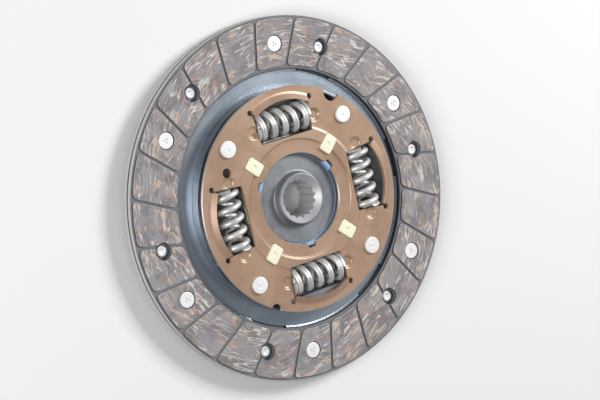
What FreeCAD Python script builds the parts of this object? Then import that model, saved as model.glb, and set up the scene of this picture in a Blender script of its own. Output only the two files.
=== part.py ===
"""Clutch disc with a spring damper: friction facings, cushion disc, two side plates and a splined hub.

Frame: the origin is the centre of the hub's rear end face. +Z runs along the shaft axis towards the
cover plate, and +X passes through the middle of the first damper spring. Sizes are in millimetres.
"""
import FreeCAD, Part
import math
import os

V = FreeCAD.Vector
ORIGIN = V(0, 0, 0)
X_AXIS = V(1, 0, 0)
Z_AXIS = V(0, 0, 1)

# Clearances
RUNNING_GAP = 0.05  # between flat faces that slide on each other
SHAFT_GAP = 0.08  # radial, between a bushing and the hub
RIVET_GAP = 0.05  # radial, between a shank and its hole
SLOT_GAP = 0.15  # around a peg or a lug in the cover plate
OVERCUT = 1.0  # how far a cutter reaches past what it cuts

# Friction facings
FACING_OUTER_R = 100.0
FACING_INNER_R = 71.0
FACING_T = 3.2
PAD_COUNT = 24
GROOVE_DEPTH = 0.8
GROOVE_WIDTH = 1.4
GROOVE_OFFSET = 20.0  # how far the line of each groove passes from the axis
GROOVE_PHASE = 1.5  # angle of the first groove at the middle radius
PAD_OUTER_LAND = 1.3
PAD_INNER_LAND = 1.3
PAD_CORNER = 2.4

# Facing rivets, in pairs: one of each pair holds the front facing, the other the rear one
RIVET_CIRCLE_R = 84.8
RIVET_PAIRS = 6
RIVET_PAIR_PHASE = 13.35
RIVET_PAIR_SPREAD = 20.1
RIVET_HEAD_R = 4.4
RIVET_HEAD_T = 1.7
RIVET_SHANK_R = 2.4
RIVET_TAIL_R = 3.0
RIVET_TAIL_T = 1.7
RIVET_SEAT_R = 4.8  # counterbore, and the hole over the tail of the opposite rivet
RIVET_WEB_T = 1.2  # facing material under a rivet head

# Cushion disc
CUSHION_T = 0.8
CUSHION_STEP = 0.4  # how far a paddle is set up or down from the flat middle
CUSHION_OUTER_R = 97.0
CUSHION_STEP_INSET = 1.8  # from the facing's inner edge in to the foot of the step
CUSHION_STEP_RUN = 1.4
CUSHION_SLOT_ANGLE = 1.0
REAR_PADDLE_SPAN = 16.0
CUSHION_LOBE_REACH = 6.2  # from the pins in to the inner edge of the lobes that they clamp
CUSHION_BAY_INSET = 1.8  # from the plates' rim in to the edge of the bays that clear the windows
CUSHION_BAY_HALF = 23.5

# Side plates
PLATE_T = 1.8
PLATE_OUTER_R = 61.8
PLATE_SPACING = 7.3
COVER_INNER_DROP = 0.4
COVER_BEAD_RISE = 0.4
BEAD_INNER_REACH = 1.4  # from the pegs' middle in to the top of the bead
BEAD_OUTER_REACH = 4.2  # from the pegs' middle out to the top of the bead
BEAD_SLOPE_RUN = 1.3
SPARE_HOLE_R = 2.6
SPARE_HOLE_INSET = 4.6  # from the circle of the pins
SPARE_HOLE_ANGLE = 148.2
DEEP_NOTCH_R = 4.7
DEEP_NOTCH_INSET = 0.9
DEEP_NOTCH_ANGLE = 56.7
SMALL_NOTCH_R = 3.2
SMALL_NOTCH_ANGLE = 240.3
LUG_COUNT = 3
LUG_PHASE = 30.9
LUG_RING_GAP = 0.4  # between the lug notches and the inner edge of the friction ring
LUG_REACH = 2.8  # depth of a lug notch
LUG_FOOT_HALF = 3.7
LUG_TIP_HALF = 2.2
LUG_END_GAP = 1.0
DRIVE_RIM_H = 5.9
DRIVE_RIM_T = 1.6
DRIVE_RIM_BEND = 1.2

# Spring windows of the side plates
WINDOW_EDGE_GAP = 1.0  # from the room of the spring in to the window's inner edge
WINDOW_SPLAY = 5.0
LIP_CREST_INSET = 3.6  # from the plate's rim in to the middle of the bend
LIP_BEND_R = 36.2  # about the lip's own centre, which lies between the spring and the axis
LIP_SLIT = 1.3  # angle of the slit at each end of a lip
LIP_ANGLE = 32.0
LIP_ROOT = 0.5
LIP_LENGTH = 4.0
SHOULDER_REACH = 7.0  # from the spring's circle out to where the slits start
RELIEF_R = 1.5
DIMPLE_R = 3.4
DIMPLE_FLOOR_R = 2.6
DIMPLE_DEPTH = 0.9
DIMPLE_INSET = 1.9  # from the spring's circle
DIMPLE_OUTSET = 2.4  # from the window's end

# Stop pins
PIN_COUNT = 4
PIN_INSET = 8.6  # from the plates' rim
PIN_SHANK_R = 4.1
PIN_NECK_R = 3.0
PIN_HEAD_R = 4.6
PIN_HEAD_T = 1.4

# Hub
HUB_LENGTH = 18.6
HUB_BARREL_R = 15.0
HUB_NOSE_R = 13.9
HUB_CHAMFER = 0.8
COLLAR_GAP = 1.3  # from the cover plate's opening in to the collar
COLLAR_H = 0.4
FLANGE_REAR = 10.8
FLANGE_T = 3.2
FLANGE_INSET = 3.3  # from the plates' rim in to the flange's edge
FLANGE_WINDOW_EXTRA = 1.6  # opening left between a spring and the axis
FLANGE_WINDOW_OUTER = 0.5  # opening left between a spring and the flange's edge
FLANGE_WINDOW_CORNER = 0.5
TWIST_LIMIT = 8.0
STOP_MARGIN = 0.4
SPLINE_COUNT = 16
SPLINE_ROOT_R = 10.5
SPLINE_TIP_R = 9.8
SPLINE_ROOT_HALF = 4.2
SPLINE_TIP_HALF = 6.2
SPLINE_PHASE = 0.0
LEAD_IN_R = 13.2
LEAD_IN_DEPTH = 2.4
REAR_LEAD_IN = 0.6

# Damper springs
SPRING_COUNT = 4
SPRING_INSET = 18.0  # from the plates' rim
SPRING_LENGTH = 33.4
SPRING_SEAT_GAP = 0.15
OUTER_COIL_D = 16.5
OUTER_WIRE_D = 3.3
OUTER_TURNS = 6.0
INNER_COIL_D = 9.3
INNER_WIRE_D = 1.9
INNER_TURNS = 7.0
SPRING_PHASE = 270.0
GROUND_SHARE = 0.65  # share of the wire's thickness that is ground off each end
WIRE_SIDES = 6
OUTER_TURN_STEPS = 10
INNER_TURN_STEPS = 8

# Friction parts between the flange and the side plates
FRICTION_SPRING_GAP = 2.0  # from the room of the springs in to the ring's outer edge
FRICTION_WIDTH = 5.4
FRICTION_RING_T = 1.1
PEG_OUTSET = 1.0  # from the ring's outer edge to the pegs' middle
PEG_RADIAL = 10.0
PEG_TANGENTIAL = 7.4
PEG_CORNER = 1.0
PEG_PROUD = 0.6  # above the bead of the cover plate
PEG_DIMPLE_R = 1.2
PEG_DIMPLE_DEPTH = 0.5
SUPPORT_WASHER_T = 0.3
CONE_SPRING_T = 0.35
REAR_WASHER_T = 1.55
REAR_BUSHING_R = 20.8
REAR_BUSHING_SLEEVE_R = 17.5
BUSHING_RING_H = 1.2
LUG_TOP_DROP = 0.9  # lug top below the cover plate's inner face

# Heights that follow from the stack
DRIVE_TOP = FLANGE_REAR - RUNNING_GAP - REAR_WASHER_T
DRIVE_BOTTOM = DRIVE_TOP - PLATE_T
CUSHION_MID = DRIVE_BOTTOM - CUSHION_T / 2
FRONT_FACING_BACK = CUSHION_MID + CUSHION_T / 2 + CUSHION_STEP
REAR_FACING_BACK = CUSHION_MID - CUSHION_T / 2 - CUSHION_STEP
COVER_BOTTOM = DRIVE_TOP + PLATE_SPACING
COVER_TOP = COVER_BOTTOM + PLATE_T
COVER_INNER_BOTTOM = COVER_BOTTOM - COVER_INNER_DROP
FLANGE_TOP = FLANGE_REAR + FLANGE_T
COLLAR_TOP = FLANGE_TOP + COLLAR_H
FRICTION_BASE = FLANGE_TOP + RUNNING_GAP
SPRING_Z = (DRIVE_TOP + COVER_BOTTOM) / 2

# Circles that follow from the facings, the plates' rim and the springs
CUSHION_STEP_R = FACING_INNER_R - CUSHION_STEP_INSET
CUSHION_BAY_R = PLATE_OUTER_R - CUSHION_BAY_INSET
PIN_CIRCLE_R = PLATE_OUTER_R - PIN_INSET
CUSHION_LOBE_R = PIN_CIRCLE_R - CUSHION_LOBE_REACH
FLANGE_R = PLATE_OUTER_R - FLANGE_INSET
SPRING_CIRCLE_R = PLATE_OUTER_R - SPRING_INSET
LIP_CENTRE_R = PLATE_OUTER_R - LIP_CREST_INSET - LIP_BEND_R
SPRING_SHADOW_R = OUTER_COIL_D / 2 + SPRING_SEAT_GAP
WINDOW_INNER = SPRING_CIRCLE_R - SPRING_SHADOW_R - WINDOW_EDGE_GAP
DIMPLE_CENTRE_R = SPRING_CIRCLE_R - DIMPLE_INSET
FRICTION_OUTER_R = SPRING_CIRCLE_R - SPRING_SHADOW_R - FRICTION_SPRING_GAP
FRICTION_INNER_R = FRICTION_OUTER_R - FRICTION_WIDTH
PEG_CENTRE_R = FRICTION_OUTER_R + PEG_OUTSET
LUG_NOTCH_R = FRICTION_INNER_R - LUG_RING_GAP
COVER_OPENING_R = LUG_NOTCH_R - LUG_REACH
COLLAR_R = COVER_OPENING_R - COLLAR_GAP

# Angles and lengths that follow
PITCH = 360.0 / SPRING_COUNT
FRONT_RIVET_ANGLE = RIVET_PAIR_PHASE + RIVET_PAIR_SPREAD / 2
REAR_RIVET_ANGLE = RIVET_PAIR_PHASE - RIVET_PAIR_SPREAD / 2
SPRING_SEAT_HALF = SPRING_LENGTH / 2 + SPRING_SEAT_GAP


def polar(radius, angle, z=0.0):
    """A point given by its distance from the axis and its angle in degrees."""
    turn = math.radians(angle)
    return V(radius * math.cos(turn), radius * math.sin(turn), z)


def turned(shape, angle, axis=Z_AXIS):
    """A copy of the shape turned about an axis through the origin."""
    copy = shape.copy()
    copy.rotate(ORIGIN, axis, angle)
    return copy


def moved(shape, x=0.0, y=0.0, z=0.0):
    """A copy of the shape moved along the axes."""
    copy = shape.copy()
    copy.translate(V(x, y, z))
    return copy


def ring_of(shape, count, phase=0.0):
    """Copies of the shape spaced evenly round the axis."""
    return [turned(shape, phase + 360.0 * i / count) for i in range(count)]


def revolved(points, angle=360.0):
    """A solid turned about the axis from a closed outline of (radius, z) points."""
    outline = Part.makePolygon([V(r, 0, z) for r, z in points + points[:1]])
    return Part.Face(outline).revolve(ORIGIN, Z_AXIS, angle)


def washer(inner_r, outer_r, bottom, top):
    """A flat ring between two heights."""
    return revolved([(inner_r, bottom), (outer_r, bottom), (outer_r, top), (inner_r, top)])


def drill(radius, place, bottom, top):
    """A round cutter, upright at the place, between two heights."""
    return Part.makeCylinder(radius, top - bottom, V(place.x, place.y, bottom))


def upright_edges(solid):
    """The straight edges of a prism that run along its height."""
    return [e for e in solid.Edges if abs(e.Vertexes[0].Z - e.Vertexes[-1].Z) > 1e-6]


def groove_point(angle, shift, radius):
    """Where a groove's line, moved sideways by the shift, crosses a circle."""
    middle = (FACING_OUTER_R + FACING_INNER_R) / 2
    heading = math.radians(angle) - math.asin(GROOVE_OFFSET / middle)
    offset = GROOVE_OFFSET + shift
    along = math.sqrt(radius**2 - offset**2)
    x = along * math.cos(heading) - offset * math.sin(heading)
    y = along * math.sin(heading) + offset * math.cos(heading)
    return V(x, y, 0)


def arc_between(start, end, radius):
    """The short arc about the axis that joins two points of one circle."""
    middle = (start + end).normalize() * radius
    return Part.Arc(start, middle, end).toShape()


def facing_pad():
    """One raised pad between two slanted grooves, with its corners taken off."""
    inner = FACING_INNER_R + PAD_INNER_LAND
    outer = FACING_OUTER_R - PAD_OUTER_LAND
    half = GROOVE_WIDTH / 2
    next_angle = GROOVE_PHASE + 360.0 / PAD_COUNT
    a = groove_point(GROOVE_PHASE, half, inner)
    b = groove_point(GROOVE_PHASE, half, outer)
    c = groove_point(next_angle, -half, outer)
    d = groove_point(next_angle, -half, inner)
    sides = [
        Part.makeLine(a, b),
        arc_between(b, c, outer),
        Part.makeLine(c, d),
        arc_between(d, a, inner),
    ]
    pad = Part.Face(Part.Wire(sides)).extrude(V(0, 0, GROOVE_DEPTH))
    pad = pad.makeChamfer(PAD_CORNER, upright_edges(pad))
    return moved(pad, z=FACING_T - GROOVE_DEPTH)


def facing():
    """A friction facing with its back on z = 0 and its pads upwards, as the front one lies."""
    body = washer(FACING_INNER_R, FACING_OUTER_R, 0, FACING_T - GROOVE_DEPTH)
    body = body.fuse(ring_of(facing_pad(), PAD_COUNT))
    cutters = []
    for i in range(RIVET_PAIRS):
        step = 360.0 * i / RIVET_PAIRS
        seat = polar(RIVET_CIRCLE_R, FRONT_RIVET_ANGLE + step)
        clear = polar(RIVET_CIRCLE_R, REAR_RIVET_ANGLE + step)
        cutters.append(drill(RIVET_SEAT_R, seat, RIVET_WEB_T, FACING_T + OVERCUT))
        cutters.append(drill(RIVET_SHANK_R + RIVET_GAP, seat, -OVERCUT, FACING_T))
        cutters.append(drill(RIVET_SEAT_R, clear, -OVERCUT, FACING_T + OVERCUT))
    return body.cut(cutters)


def flipped_to_rear(shape):
    """The rear twin of a piece of the front side: turned over and set on the rear rivets."""
    return turned(turned(shape, -FRONT_RIVET_ANGLE - REAR_RIVET_ANGLE), 180, X_AXIS)


def facing_rivets():
    """The rivets of one facing, with the back of the facing on z = 0."""
    grip = RIVET_WEB_T + CUSHION_T
    outline = [
        (0, RIVET_HEAD_T),
        (0, -grip - RIVET_TAIL_T),
        (RIVET_TAIL_R, -grip - RIVET_TAIL_T),
        (RIVET_TAIL_R, -grip),
        (RIVET_SHANK_R, -grip),
        (RIVET_SHANK_R, 0),
        (RIVET_HEAD_R, 0),
        (RIVET_HEAD_R, RIVET_HEAD_T),
    ]
    rivet = moved(revolved(outline), x=RIVET_CIRCLE_R, z=RIVET_WEB_T)
    return Part.makeCompound(ring_of(rivet, RIVET_PAIRS, FRONT_RIVET_ANGLE))


def paddle(rise, span):
    """A paddle of the cushion disc, stepped up or down from the flat middle and centred on +X."""
    half = CUSHION_T / 2
    foot = CUSHION_STEP_R
    shoulder = CUSHION_STEP_R + CUSHION_STEP_RUN
    outline = [
        (foot - OVERCUT, -half),
        (foot, -half),
        (shoulder, rise - half),
        (CUSHION_OUTER_R, rise - half),
        (CUSHION_OUTER_R, rise + half),
        (shoulder, rise + half),
        (foot, half),
        (foot - OVERCUT, half),
    ]
    return turned(revolved(outline, span), -span / 2)


def cushion_disc():
    """Thin spring-steel disc whose paddles stand alternately at the front and at the rear facing."""
    half = CUSHION_T / 2
    disc = washer(CUSHION_LOBE_R, CUSHION_STEP_R, -half, half)
    pair = 360.0 / RIVET_PAIRS
    front_span = pair - REAR_PADDLE_SPAN - 2 * CUSHION_SLOT_ANGLE
    paddles = ring_of(paddle(CUSHION_STEP, front_span), RIVET_PAIRS, REAR_RIVET_ANGLE + pair / 2)
    paddles += ring_of(paddle(-CUSHION_STEP, REAR_PADDLE_SPAN), RIVET_PAIRS, REAR_RIVET_ANGLE)
    disc = disc.fuse(paddles)
    bay_start = CUSHION_LOBE_R - OVERCUT
    bay_outline = [
        (bay_start, -CUSHION_T),
        (CUSHION_BAY_R, -CUSHION_T),
        (CUSHION_BAY_R, CUSHION_T),
        (bay_start, CUSHION_T),
    ]
    bay = revolved(bay_outline, 2 * CUSHION_BAY_HALF)
    cutters = ring_of(bay, SPRING_COUNT, -CUSHION_BAY_HALF)
    pin_hole = drill(PIN_NECK_R + RIVET_GAP, V(PIN_CIRCLE_R, 0, 0), -CUSHION_T, CUSHION_T)
    cutters += ring_of(pin_hole, PIN_COUNT, PITCH / 2)
    reach = CUSHION_T + CUSHION_STEP
    shank_hole = drill(RIVET_SHANK_R + RIVET_GAP, V(RIVET_CIRCLE_R, 0, 0), -reach, reach)
    cutters += ring_of(shank_hole, RIVET_PAIRS, FRONT_RIVET_ANGLE)
    cutters += ring_of(shank_hole, RIVET_PAIRS, REAR_RIVET_ANGLE)
    return moved(disc.cut(cutters), z=CUSHION_MID)


def window_half(radial):
    """Half the length of a side plate's window at a distance from the axis along its middle line."""
    contact = SPRING_CIRCLE_R - SPRING_SHADOW_R
    return SPRING_SEAT_HALF + (radial - contact) * math.tan(math.radians(WINDOW_SPLAY))


def slit_angle():
    """The angle of the outer side of a lip's slits, about the lip's centre."""
    shoulder = SPRING_CIRCLE_R + SHOULDER_REACH
    return math.degrees(math.atan2(window_half(shoulder), shoulder - LIP_CENTRE_R))


def slit_end(side):
    """The outer end of the slit at one end of a lip."""
    return polar(LIP_BEND_R, side * slit_angle()) + V(LIP_CENTRE_R, 0, 0)


def window_cutter():
    """The opening in a side plate over one spring, out to the bend of its lip."""
    shoulder = SPRING_CIRCLE_R + SHOULDER_REACH
    right = [
        V(WINDOW_INNER, window_half(WINDOW_INNER), 0),
        V(shoulder, window_half(shoulder), 0),
        slit_end(1),
    ]
    left = [V(p.x, -p.y, 0) for p in reversed(right)]
    sides = [Part.makeLine(p, q) for p, q in zip(right, right[1:])]
    crest = V(LIP_CENTRE_R + LIP_BEND_R, 0, 0)
    sides.append(Part.Arc(right[-1], crest, left[0]).toShape())
    sides += [Part.makeLine(p, q) for p, q in zip(left, left[1:])]
    sides.append(Part.makeLine(left[-1], right[0]))
    opening = Part.Face(Part.Wire(sides)).extrude(V(0, 0, PLATE_T + 2 * OVERCUT))
    return moved(opening, z=-OVERCUT)


def window_lip():
    """The outer edge of a window, folded up over the spring from a plate that lies on z = 0."""
    lean = math.radians(LIP_ANGLE)
    fold = PLATE_T * math.tan(lean / 2)
    run = LIP_LENGTH * math.cos(lean)
    rise = LIP_LENGTH * math.sin(lean)
    edge_run = PLATE_T * math.sin(lean)
    edge_drop = PLATE_T * math.cos(lean)
    outline = [
        (LIP_BEND_R + LIP_ROOT, 0),
        (LIP_BEND_R + LIP_ROOT, PLATE_T),
        (LIP_BEND_R, PLATE_T),
        (LIP_BEND_R - run, PLATE_T + rise),
        (LIP_BEND_R - run - edge_run, PLATE_T + rise - edge_drop),
        (LIP_BEND_R - fold, 0),
    ]
    half = slit_angle() - LIP_SLIT
    return moved(turned(revolved(outline, 2 * half), -half), x=LIP_CENTRE_R)


def dimple(side):
    """Cutter for the half-round dent beside a window end."""
    cone = Part.makeCone(DIMPLE_FLOOR_R, DIMPLE_R, DIMPLE_DEPTH)
    away = side * (window_half(DIMPLE_CENTRE_R) + DIMPLE_OUTSET)
    return moved(cone, x=DIMPLE_CENTRE_R, y=away, z=PLATE_T - DIMPLE_DEPTH)


def with_spring_windows(plate):
    """Adds the spring windows to a side plate that lies on z = 0, with the lips upwards."""
    cutters = ring_of(window_cutter(), SPRING_COUNT)
    for side in (-1, 1):
        relief = drill(RELIEF_R, slit_end(side), -OVERCUT, PLATE_T + OVERCUT)
        cutters += ring_of(relief, SPRING_COUNT)
        cutters += ring_of(dimple(side), SPRING_COUNT)
    return plate.cut(cutters).fuse(ring_of(window_lip(), SPRING_COUNT))


def pin_holes():
    """Cutters for the necks of the stop pins in a side plate that lies on z = 0."""
    hole = drill(PIN_NECK_R + RIVET_GAP, V(PIN_CIRCLE_R, 0, 0), -OVERCUT, PLATE_T + OVERCUT)
    return ring_of(hole, PIN_COUNT, PITCH / 2)


def lug_outline(gap, end_gap):
    """A tapered notch at the cover plate's opening, drawn in by a gap at its sides and at its end."""
    foot_r = COVER_OPENING_R - OVERCUT
    tip_r = LUG_NOTCH_R - end_gap
    foot = LUG_FOOT_HALF - gap
    tip = LUG_TIP_HALF - gap
    corners = [V(foot_r, -foot, 0), V(tip_r, -tip, 0), V(tip_r, tip, 0), V(foot_r, foot, 0)]
    return Part.Face(Part.makePolygon(corners + corners[:1]))


def peg(grow, bottom, top):
    """A square peg of the friction ring, or with growth the cutter for its slot."""
    length = PEG_RADIAL + 2 * grow
    width = PEG_TANGENTIAL + 2 * grow
    block = Part.makeBox(length, width, top - bottom, V(PEG_CENTRE_R - length / 2, -width / 2, bottom))
    return block.makeChamfer(PEG_CORNER, upright_edges(block))


def cover_holes():
    """Cutters for the spare hole and the two notches in the rim of the cover plate."""
    places = [
        (SPARE_HOLE_R, polar(PIN_CIRCLE_R - SPARE_HOLE_INSET, SPARE_HOLE_ANGLE)),
        (DEEP_NOTCH_R, polar(PLATE_OUTER_R - DEEP_NOTCH_INSET, DEEP_NOTCH_ANGLE)),
        (SMALL_NOTCH_R, polar(PLATE_OUTER_R, SMALL_NOTCH_ANGLE)),
    ]
    return [drill(radius, place, -OVERCUT, PLATE_T + OVERCUT) for radius, place in places]


def cover_plate():
    """The pressed plate on the front, with its bead, lug notches, peg slots and rim notches."""
    low = -COVER_INNER_DROP
    high = COVER_BEAD_RISE
    bead_inner = PEG_CENTRE_R - BEAD_INNER_REACH
    bead_outer = PEG_CENTRE_R + BEAD_OUTER_REACH
    lower = [
        (COVER_OPENING_R, low),
        (bead_inner - BEAD_SLOPE_RUN, low),
        (bead_inner, high),
        (bead_outer, high),
        (bead_outer + BEAD_SLOPE_RUN, 0),
        (PLATE_OUTER_R, 0),
    ]
    upper = [(r, z + PLATE_T) for r, z in reversed(lower)]
    plate = with_spring_windows(revolved(lower + upper))
    cutters = pin_holes()
    cutters += ring_of(peg(SLOT_GAP, -OVERCUT, PLATE_T + OVERCUT), PIN_COUNT, PITCH / 2)
    notch = moved(lug_outline(0, 0), z=-OVERCUT).extrude(V(0, 0, PLATE_T + 2 * OVERCUT))
    cutters += ring_of(notch, LUG_COUNT, LUG_PHASE)
    return moved(plate.cut(cutters + cover_holes()), z=COVER_BOTTOM)


def drive_plate():
    """The dished plate behind the flange, its rim turned up towards the cover plate."""
    bore = REAR_BUSHING_SLEEVE_R + RIVET_GAP
    wall_end = PLATE_T - DRIVE_RIM_H
    outline = [
        (bore, 0),
        (PLATE_OUTER_R - DRIVE_RIM_T, 0),
        (PLATE_OUTER_R - DRIVE_RIM_T, wall_end),
        (PLATE_OUTER_R, wall_end),
        (PLATE_OUTER_R, PLATE_T - DRIVE_RIM_BEND),
        (PLATE_OUTER_R - DRIVE_RIM_BEND, PLATE_T),
        (bore, PLATE_T),
    ]
    plate = with_spring_windows(revolved(outline)).cut(pin_holes())
    return moved(turned(plate, 180, X_AXIS), z=DRIVE_TOP)


def stop_pins():
    """Shouldered pins that hold the side plates apart and stop the flange at its travel."""
    cushion_bottom = DRIVE_BOTTOM - CUSHION_T
    foot = cushion_bottom - PIN_HEAD_T
    crown = COVER_TOP + PIN_HEAD_T
    outline = [
        (0, foot),
        (PIN_HEAD_R, foot),
        (PIN_HEAD_R, cushion_bottom),
        (PIN_NECK_R, cushion_bottom),
        (PIN_NECK_R, DRIVE_TOP),
        (PIN_SHANK_R, DRIVE_TOP),
        (PIN_SHANK_R, COVER_BOTTOM),
        (PIN_NECK_R, COVER_BOTTOM),
        (PIN_NECK_R, COVER_TOP),
        (PIN_HEAD_R, COVER_TOP),
        (PIN_HEAD_R, crown),
        (0, crown),
    ]
    pin = moved(revolved(outline), x=PIN_CIRCLE_R)
    return Part.makeCompound(ring_of(pin, PIN_COUNT, PITCH / 2))


def spline_hole():
    """The toothed hole of the hub, as one cutter."""
    step = 360.0 / SPLINE_COUNT
    sides = []
    for i in range(SPLINE_COUNT):
        middle = SPLINE_PHASE + i * step
        a = polar(SPLINE_ROOT_R, middle - SPLINE_ROOT_HALF)
        b = polar(SPLINE_ROOT_R, middle + SPLINE_ROOT_HALF)
        c = polar(SPLINE_TIP_R, middle + SPLINE_TIP_HALF)
        d = polar(SPLINE_TIP_R, middle + step - SPLINE_TIP_HALF)
        e = polar(SPLINE_ROOT_R, middle + step - SPLINE_ROOT_HALF)
        sides += [arc_between(a, b, SPLINE_ROOT_R), Part.makeLine(b, c)]
        sides += [arc_between(c, d, SPLINE_TIP_R), Part.makeLine(d, e)]
    hole = Part.Face(Part.Wire(sides)).extrude(V(0, 0, HUB_LENGTH + 2 * OVERCUT))
    return moved(hole, z=-OVERCUT)


def flange_window():
    """The square opening in the flange that one spring sits in."""
    inner = SPRING_CIRCLE_R - SPRING_SHADOW_R - FLANGE_WINDOW_EXTRA
    length = 2 * SPRING_SHADOW_R + FLANGE_WINDOW_EXTRA + FLANGE_WINDOW_OUTER
    width = 2 * SPRING_SEAT_HALF
    height = FLANGE_T + 2 * OVERCUT
    block = Part.makeBox(length, width, height, V(inner, -width / 2, FLANGE_REAR - OVERCUT))
    return block.makeChamfer(FLANGE_WINDOW_CORNER, upright_edges(block))


def stop_notch():
    """The open notch in the flange's edge that a stop pin travels in."""
    half = TWIST_LIMIT + STOP_MARGIN + math.degrees(math.asin(PIN_SHANK_R / PIN_CIRCLE_R))
    bottom = PIN_CIRCLE_R - PIN_SHANK_R - SPRING_SEAT_GAP
    outline = [
        (bottom, FLANGE_REAR - OVERCUT),
        (FLANGE_R + OVERCUT, FLANGE_REAR - OVERCUT),
        (FLANGE_R + OVERCUT, FLANGE_TOP + OVERCUT),
        (bottom, FLANGE_TOP + OVERCUT),
    ]
    return turned(revolved(outline, 2 * half), -half)


def hub():
    """The splined hub with its flange, whose windows take the springs."""
    outline = [
        (0, 0),
        (HUB_BARREL_R - HUB_CHAMFER, 0),
        (HUB_BARREL_R, HUB_CHAMFER),
        (HUB_BARREL_R, FLANGE_REAR),
        (FLANGE_R, FLANGE_REAR),
        (FLANGE_R, FLANGE_TOP),
        (COLLAR_R, FLANGE_TOP),
        (COLLAR_R, COLLAR_TOP),
        (HUB_BARREL_R, COLLAR_TOP),
        (HUB_NOSE_R, HUB_LENGTH),
        (0, HUB_LENGTH),
    ]
    front_taper = (LEAD_IN_R - SPLINE_ROOT_R) / LEAD_IN_DEPTH
    lead_in = Part.makeCone(
        SPLINE_ROOT_R,
        LEAD_IN_R + front_taper * OVERCUT,
        LEAD_IN_DEPTH + OVERCUT,
        V(0, 0, HUB_LENGTH - LEAD_IN_DEPTH),
    )
    rear_lead_in = Part.makeCone(
        SPLINE_ROOT_R + REAR_LEAD_IN + OVERCUT, SPLINE_ROOT_R, REAR_LEAD_IN + OVERCUT, V(0, 0, -OVERCUT)
    )
    cutters = [spline_hole(), lead_in, rear_lead_in]
    cutters += ring_of(flange_window(), SPRING_COUNT)
    cutters += ring_of(stop_notch(), PIN_COUNT, PITCH / 2)
    return revolved(outline).cut(cutters)


def helix_points(coil_r, wire_d, turns, steps, hand):
    """Points along the middle of a spring's wire, with one closed turn at each end, about Z."""
    span = SPRING_LENGTH - wire_d * (1 - 2 * GROUND_SHARE)
    pitch = (span - 2 * wire_d) / (turns - 2)
    count = round(turns * steps)
    points = []
    for i in range(count + 1):
        turn = turns * i / count
        closed = min(turn, 1.0) + max(turn - turns + 1, 0.0)
        height = closed * wire_d + (turn - closed) * pitch - span / 2
        points.append(polar(coil_r, hand * 360.0 * turn + SPRING_PHASE, height))
    return points


def wire_section(start, following, wire_d):
    """The many-sided outline of a wire where it sets out from one point to the following one."""
    ahead = (following - start).normalize()
    out = V(start.x, start.y, 0).normalize()
    across = ahead.cross(out).normalize()
    out = across.cross(ahead)
    corners = []
    for k in range(WIRE_SIDES):
        turn = 2 * math.pi * k / WIRE_SIDES
        corners.append(start + (out * math.cos(turn) + across * math.sin(turn)) * (wire_d / 2))
    return Part.makePolygon(corners + corners[:1])


def coil_spring(coil_d, wire_d, turns, steps, hand):
    """A compression spring along Y with closed, ground ends, its wire laid along a helix."""
    points = helix_points((coil_d - wire_d) / 2, wire_d, turns, steps, hand)
    section = wire_section(points[0], points[1], wire_d)
    wire = Part.makePolygon(points).makePipeShell([section], True, False, 1)
    room = Part.makeCylinder(coil_d, SPRING_LENGTH, V(0, 0, -SPRING_LENGTH / 2))
    return turned(wire.common(room), -90, X_AXIS)


def spring_at(spring, index):
    """A spring placed in its window, lying along the pitch circle."""
    return turned(moved(spring, x=SPRING_CIRCLE_R, z=SPRING_Z), index * PITCH)


def front_friction_ring():
    """The moulded ring on the flange, whose square pegs lock into the cover plate."""
    top = COVER_TOP + COVER_BEAD_RISE + PEG_PROUD
    body = washer(FRICTION_INNER_R, FRICTION_OUTER_R, FRICTION_BASE, FRICTION_BASE + FRICTION_RING_T)
    body = body.fuse(ring_of(peg(0, FRICTION_BASE, top), PIN_COUNT, PITCH / 2))
    hollow = Part.makeCone(0, PEG_DIMPLE_R, PEG_DIMPLE_DEPTH, V(PEG_CENTRE_R, 0, top - PEG_DIMPLE_DEPTH))
    return body.cut(ring_of(hollow, PIN_COUNT, PITCH / 2))


def peg_notches(bottom, top):
    """Cutters for the open notches that let the pegs past a washer."""
    inner = PEG_CENTRE_R - PEG_RADIAL / 2 - SLOT_GAP
    width = PEG_TANGENTIAL + 2 * SLOT_GAP
    notch = Part.makeBox(FRICTION_OUTER_R, width, top - bottom, V(inner, -width / 2, bottom))
    return ring_of(notch, PIN_COUNT, PITCH / 2)


def support_washer():
    """Thin steel washer between the friction ring and the cone spring."""
    bottom = FRICTION_BASE + FRICTION_RING_T
    flat = washer(FRICTION_INNER_R, FRICTION_OUTER_R, bottom, bottom + SUPPORT_WASHER_T)
    return flat.cut(peg_notches(bottom - OVERCUT, bottom + SUPPORT_WASHER_T + OVERCUT))


def cone_spring():
    """The dished spring that presses the friction ring on the flange."""
    bottom = FRICTION_BASE + FRICTION_RING_T + SUPPORT_WASHER_T
    top = COVER_INNER_BOTTOM
    outline = [
        (FRICTION_INNER_R, top - CONE_SPRING_T),
        (FRICTION_OUTER_R, bottom),
        (FRICTION_OUTER_R, bottom + CONE_SPRING_T),
        (FRICTION_INNER_R, top),
    ]
    return revolved(outline).cut(peg_notches(bottom - OVERCUT, top + OVERCUT))


def centering_bushing():
    """The plastic ring round the hub's collar, with lugs in the cover plate's notches."""
    outer_r = LUG_NOTCH_R - SLOT_GAP
    body = washer(COLLAR_R + SHAFT_GAP, outer_r, FRICTION_BASE, FRICTION_BASE + BUSHING_RING_H)
    lug_top = COVER_INNER_BOTTOM + PLATE_T - LUG_TOP_DROP
    outline = moved(lug_outline(SLOT_GAP, LUG_END_GAP), z=FRICTION_BASE)
    lug = outline.extrude(V(0, 0, lug_top - FRICTION_BASE))
    body = body.fuse(ring_of(lug, LUG_COUNT, LUG_PHASE))
    return body.cut(Part.makeCylinder(COLLAR_R + SHAFT_GAP, HUB_LENGTH))


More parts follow.
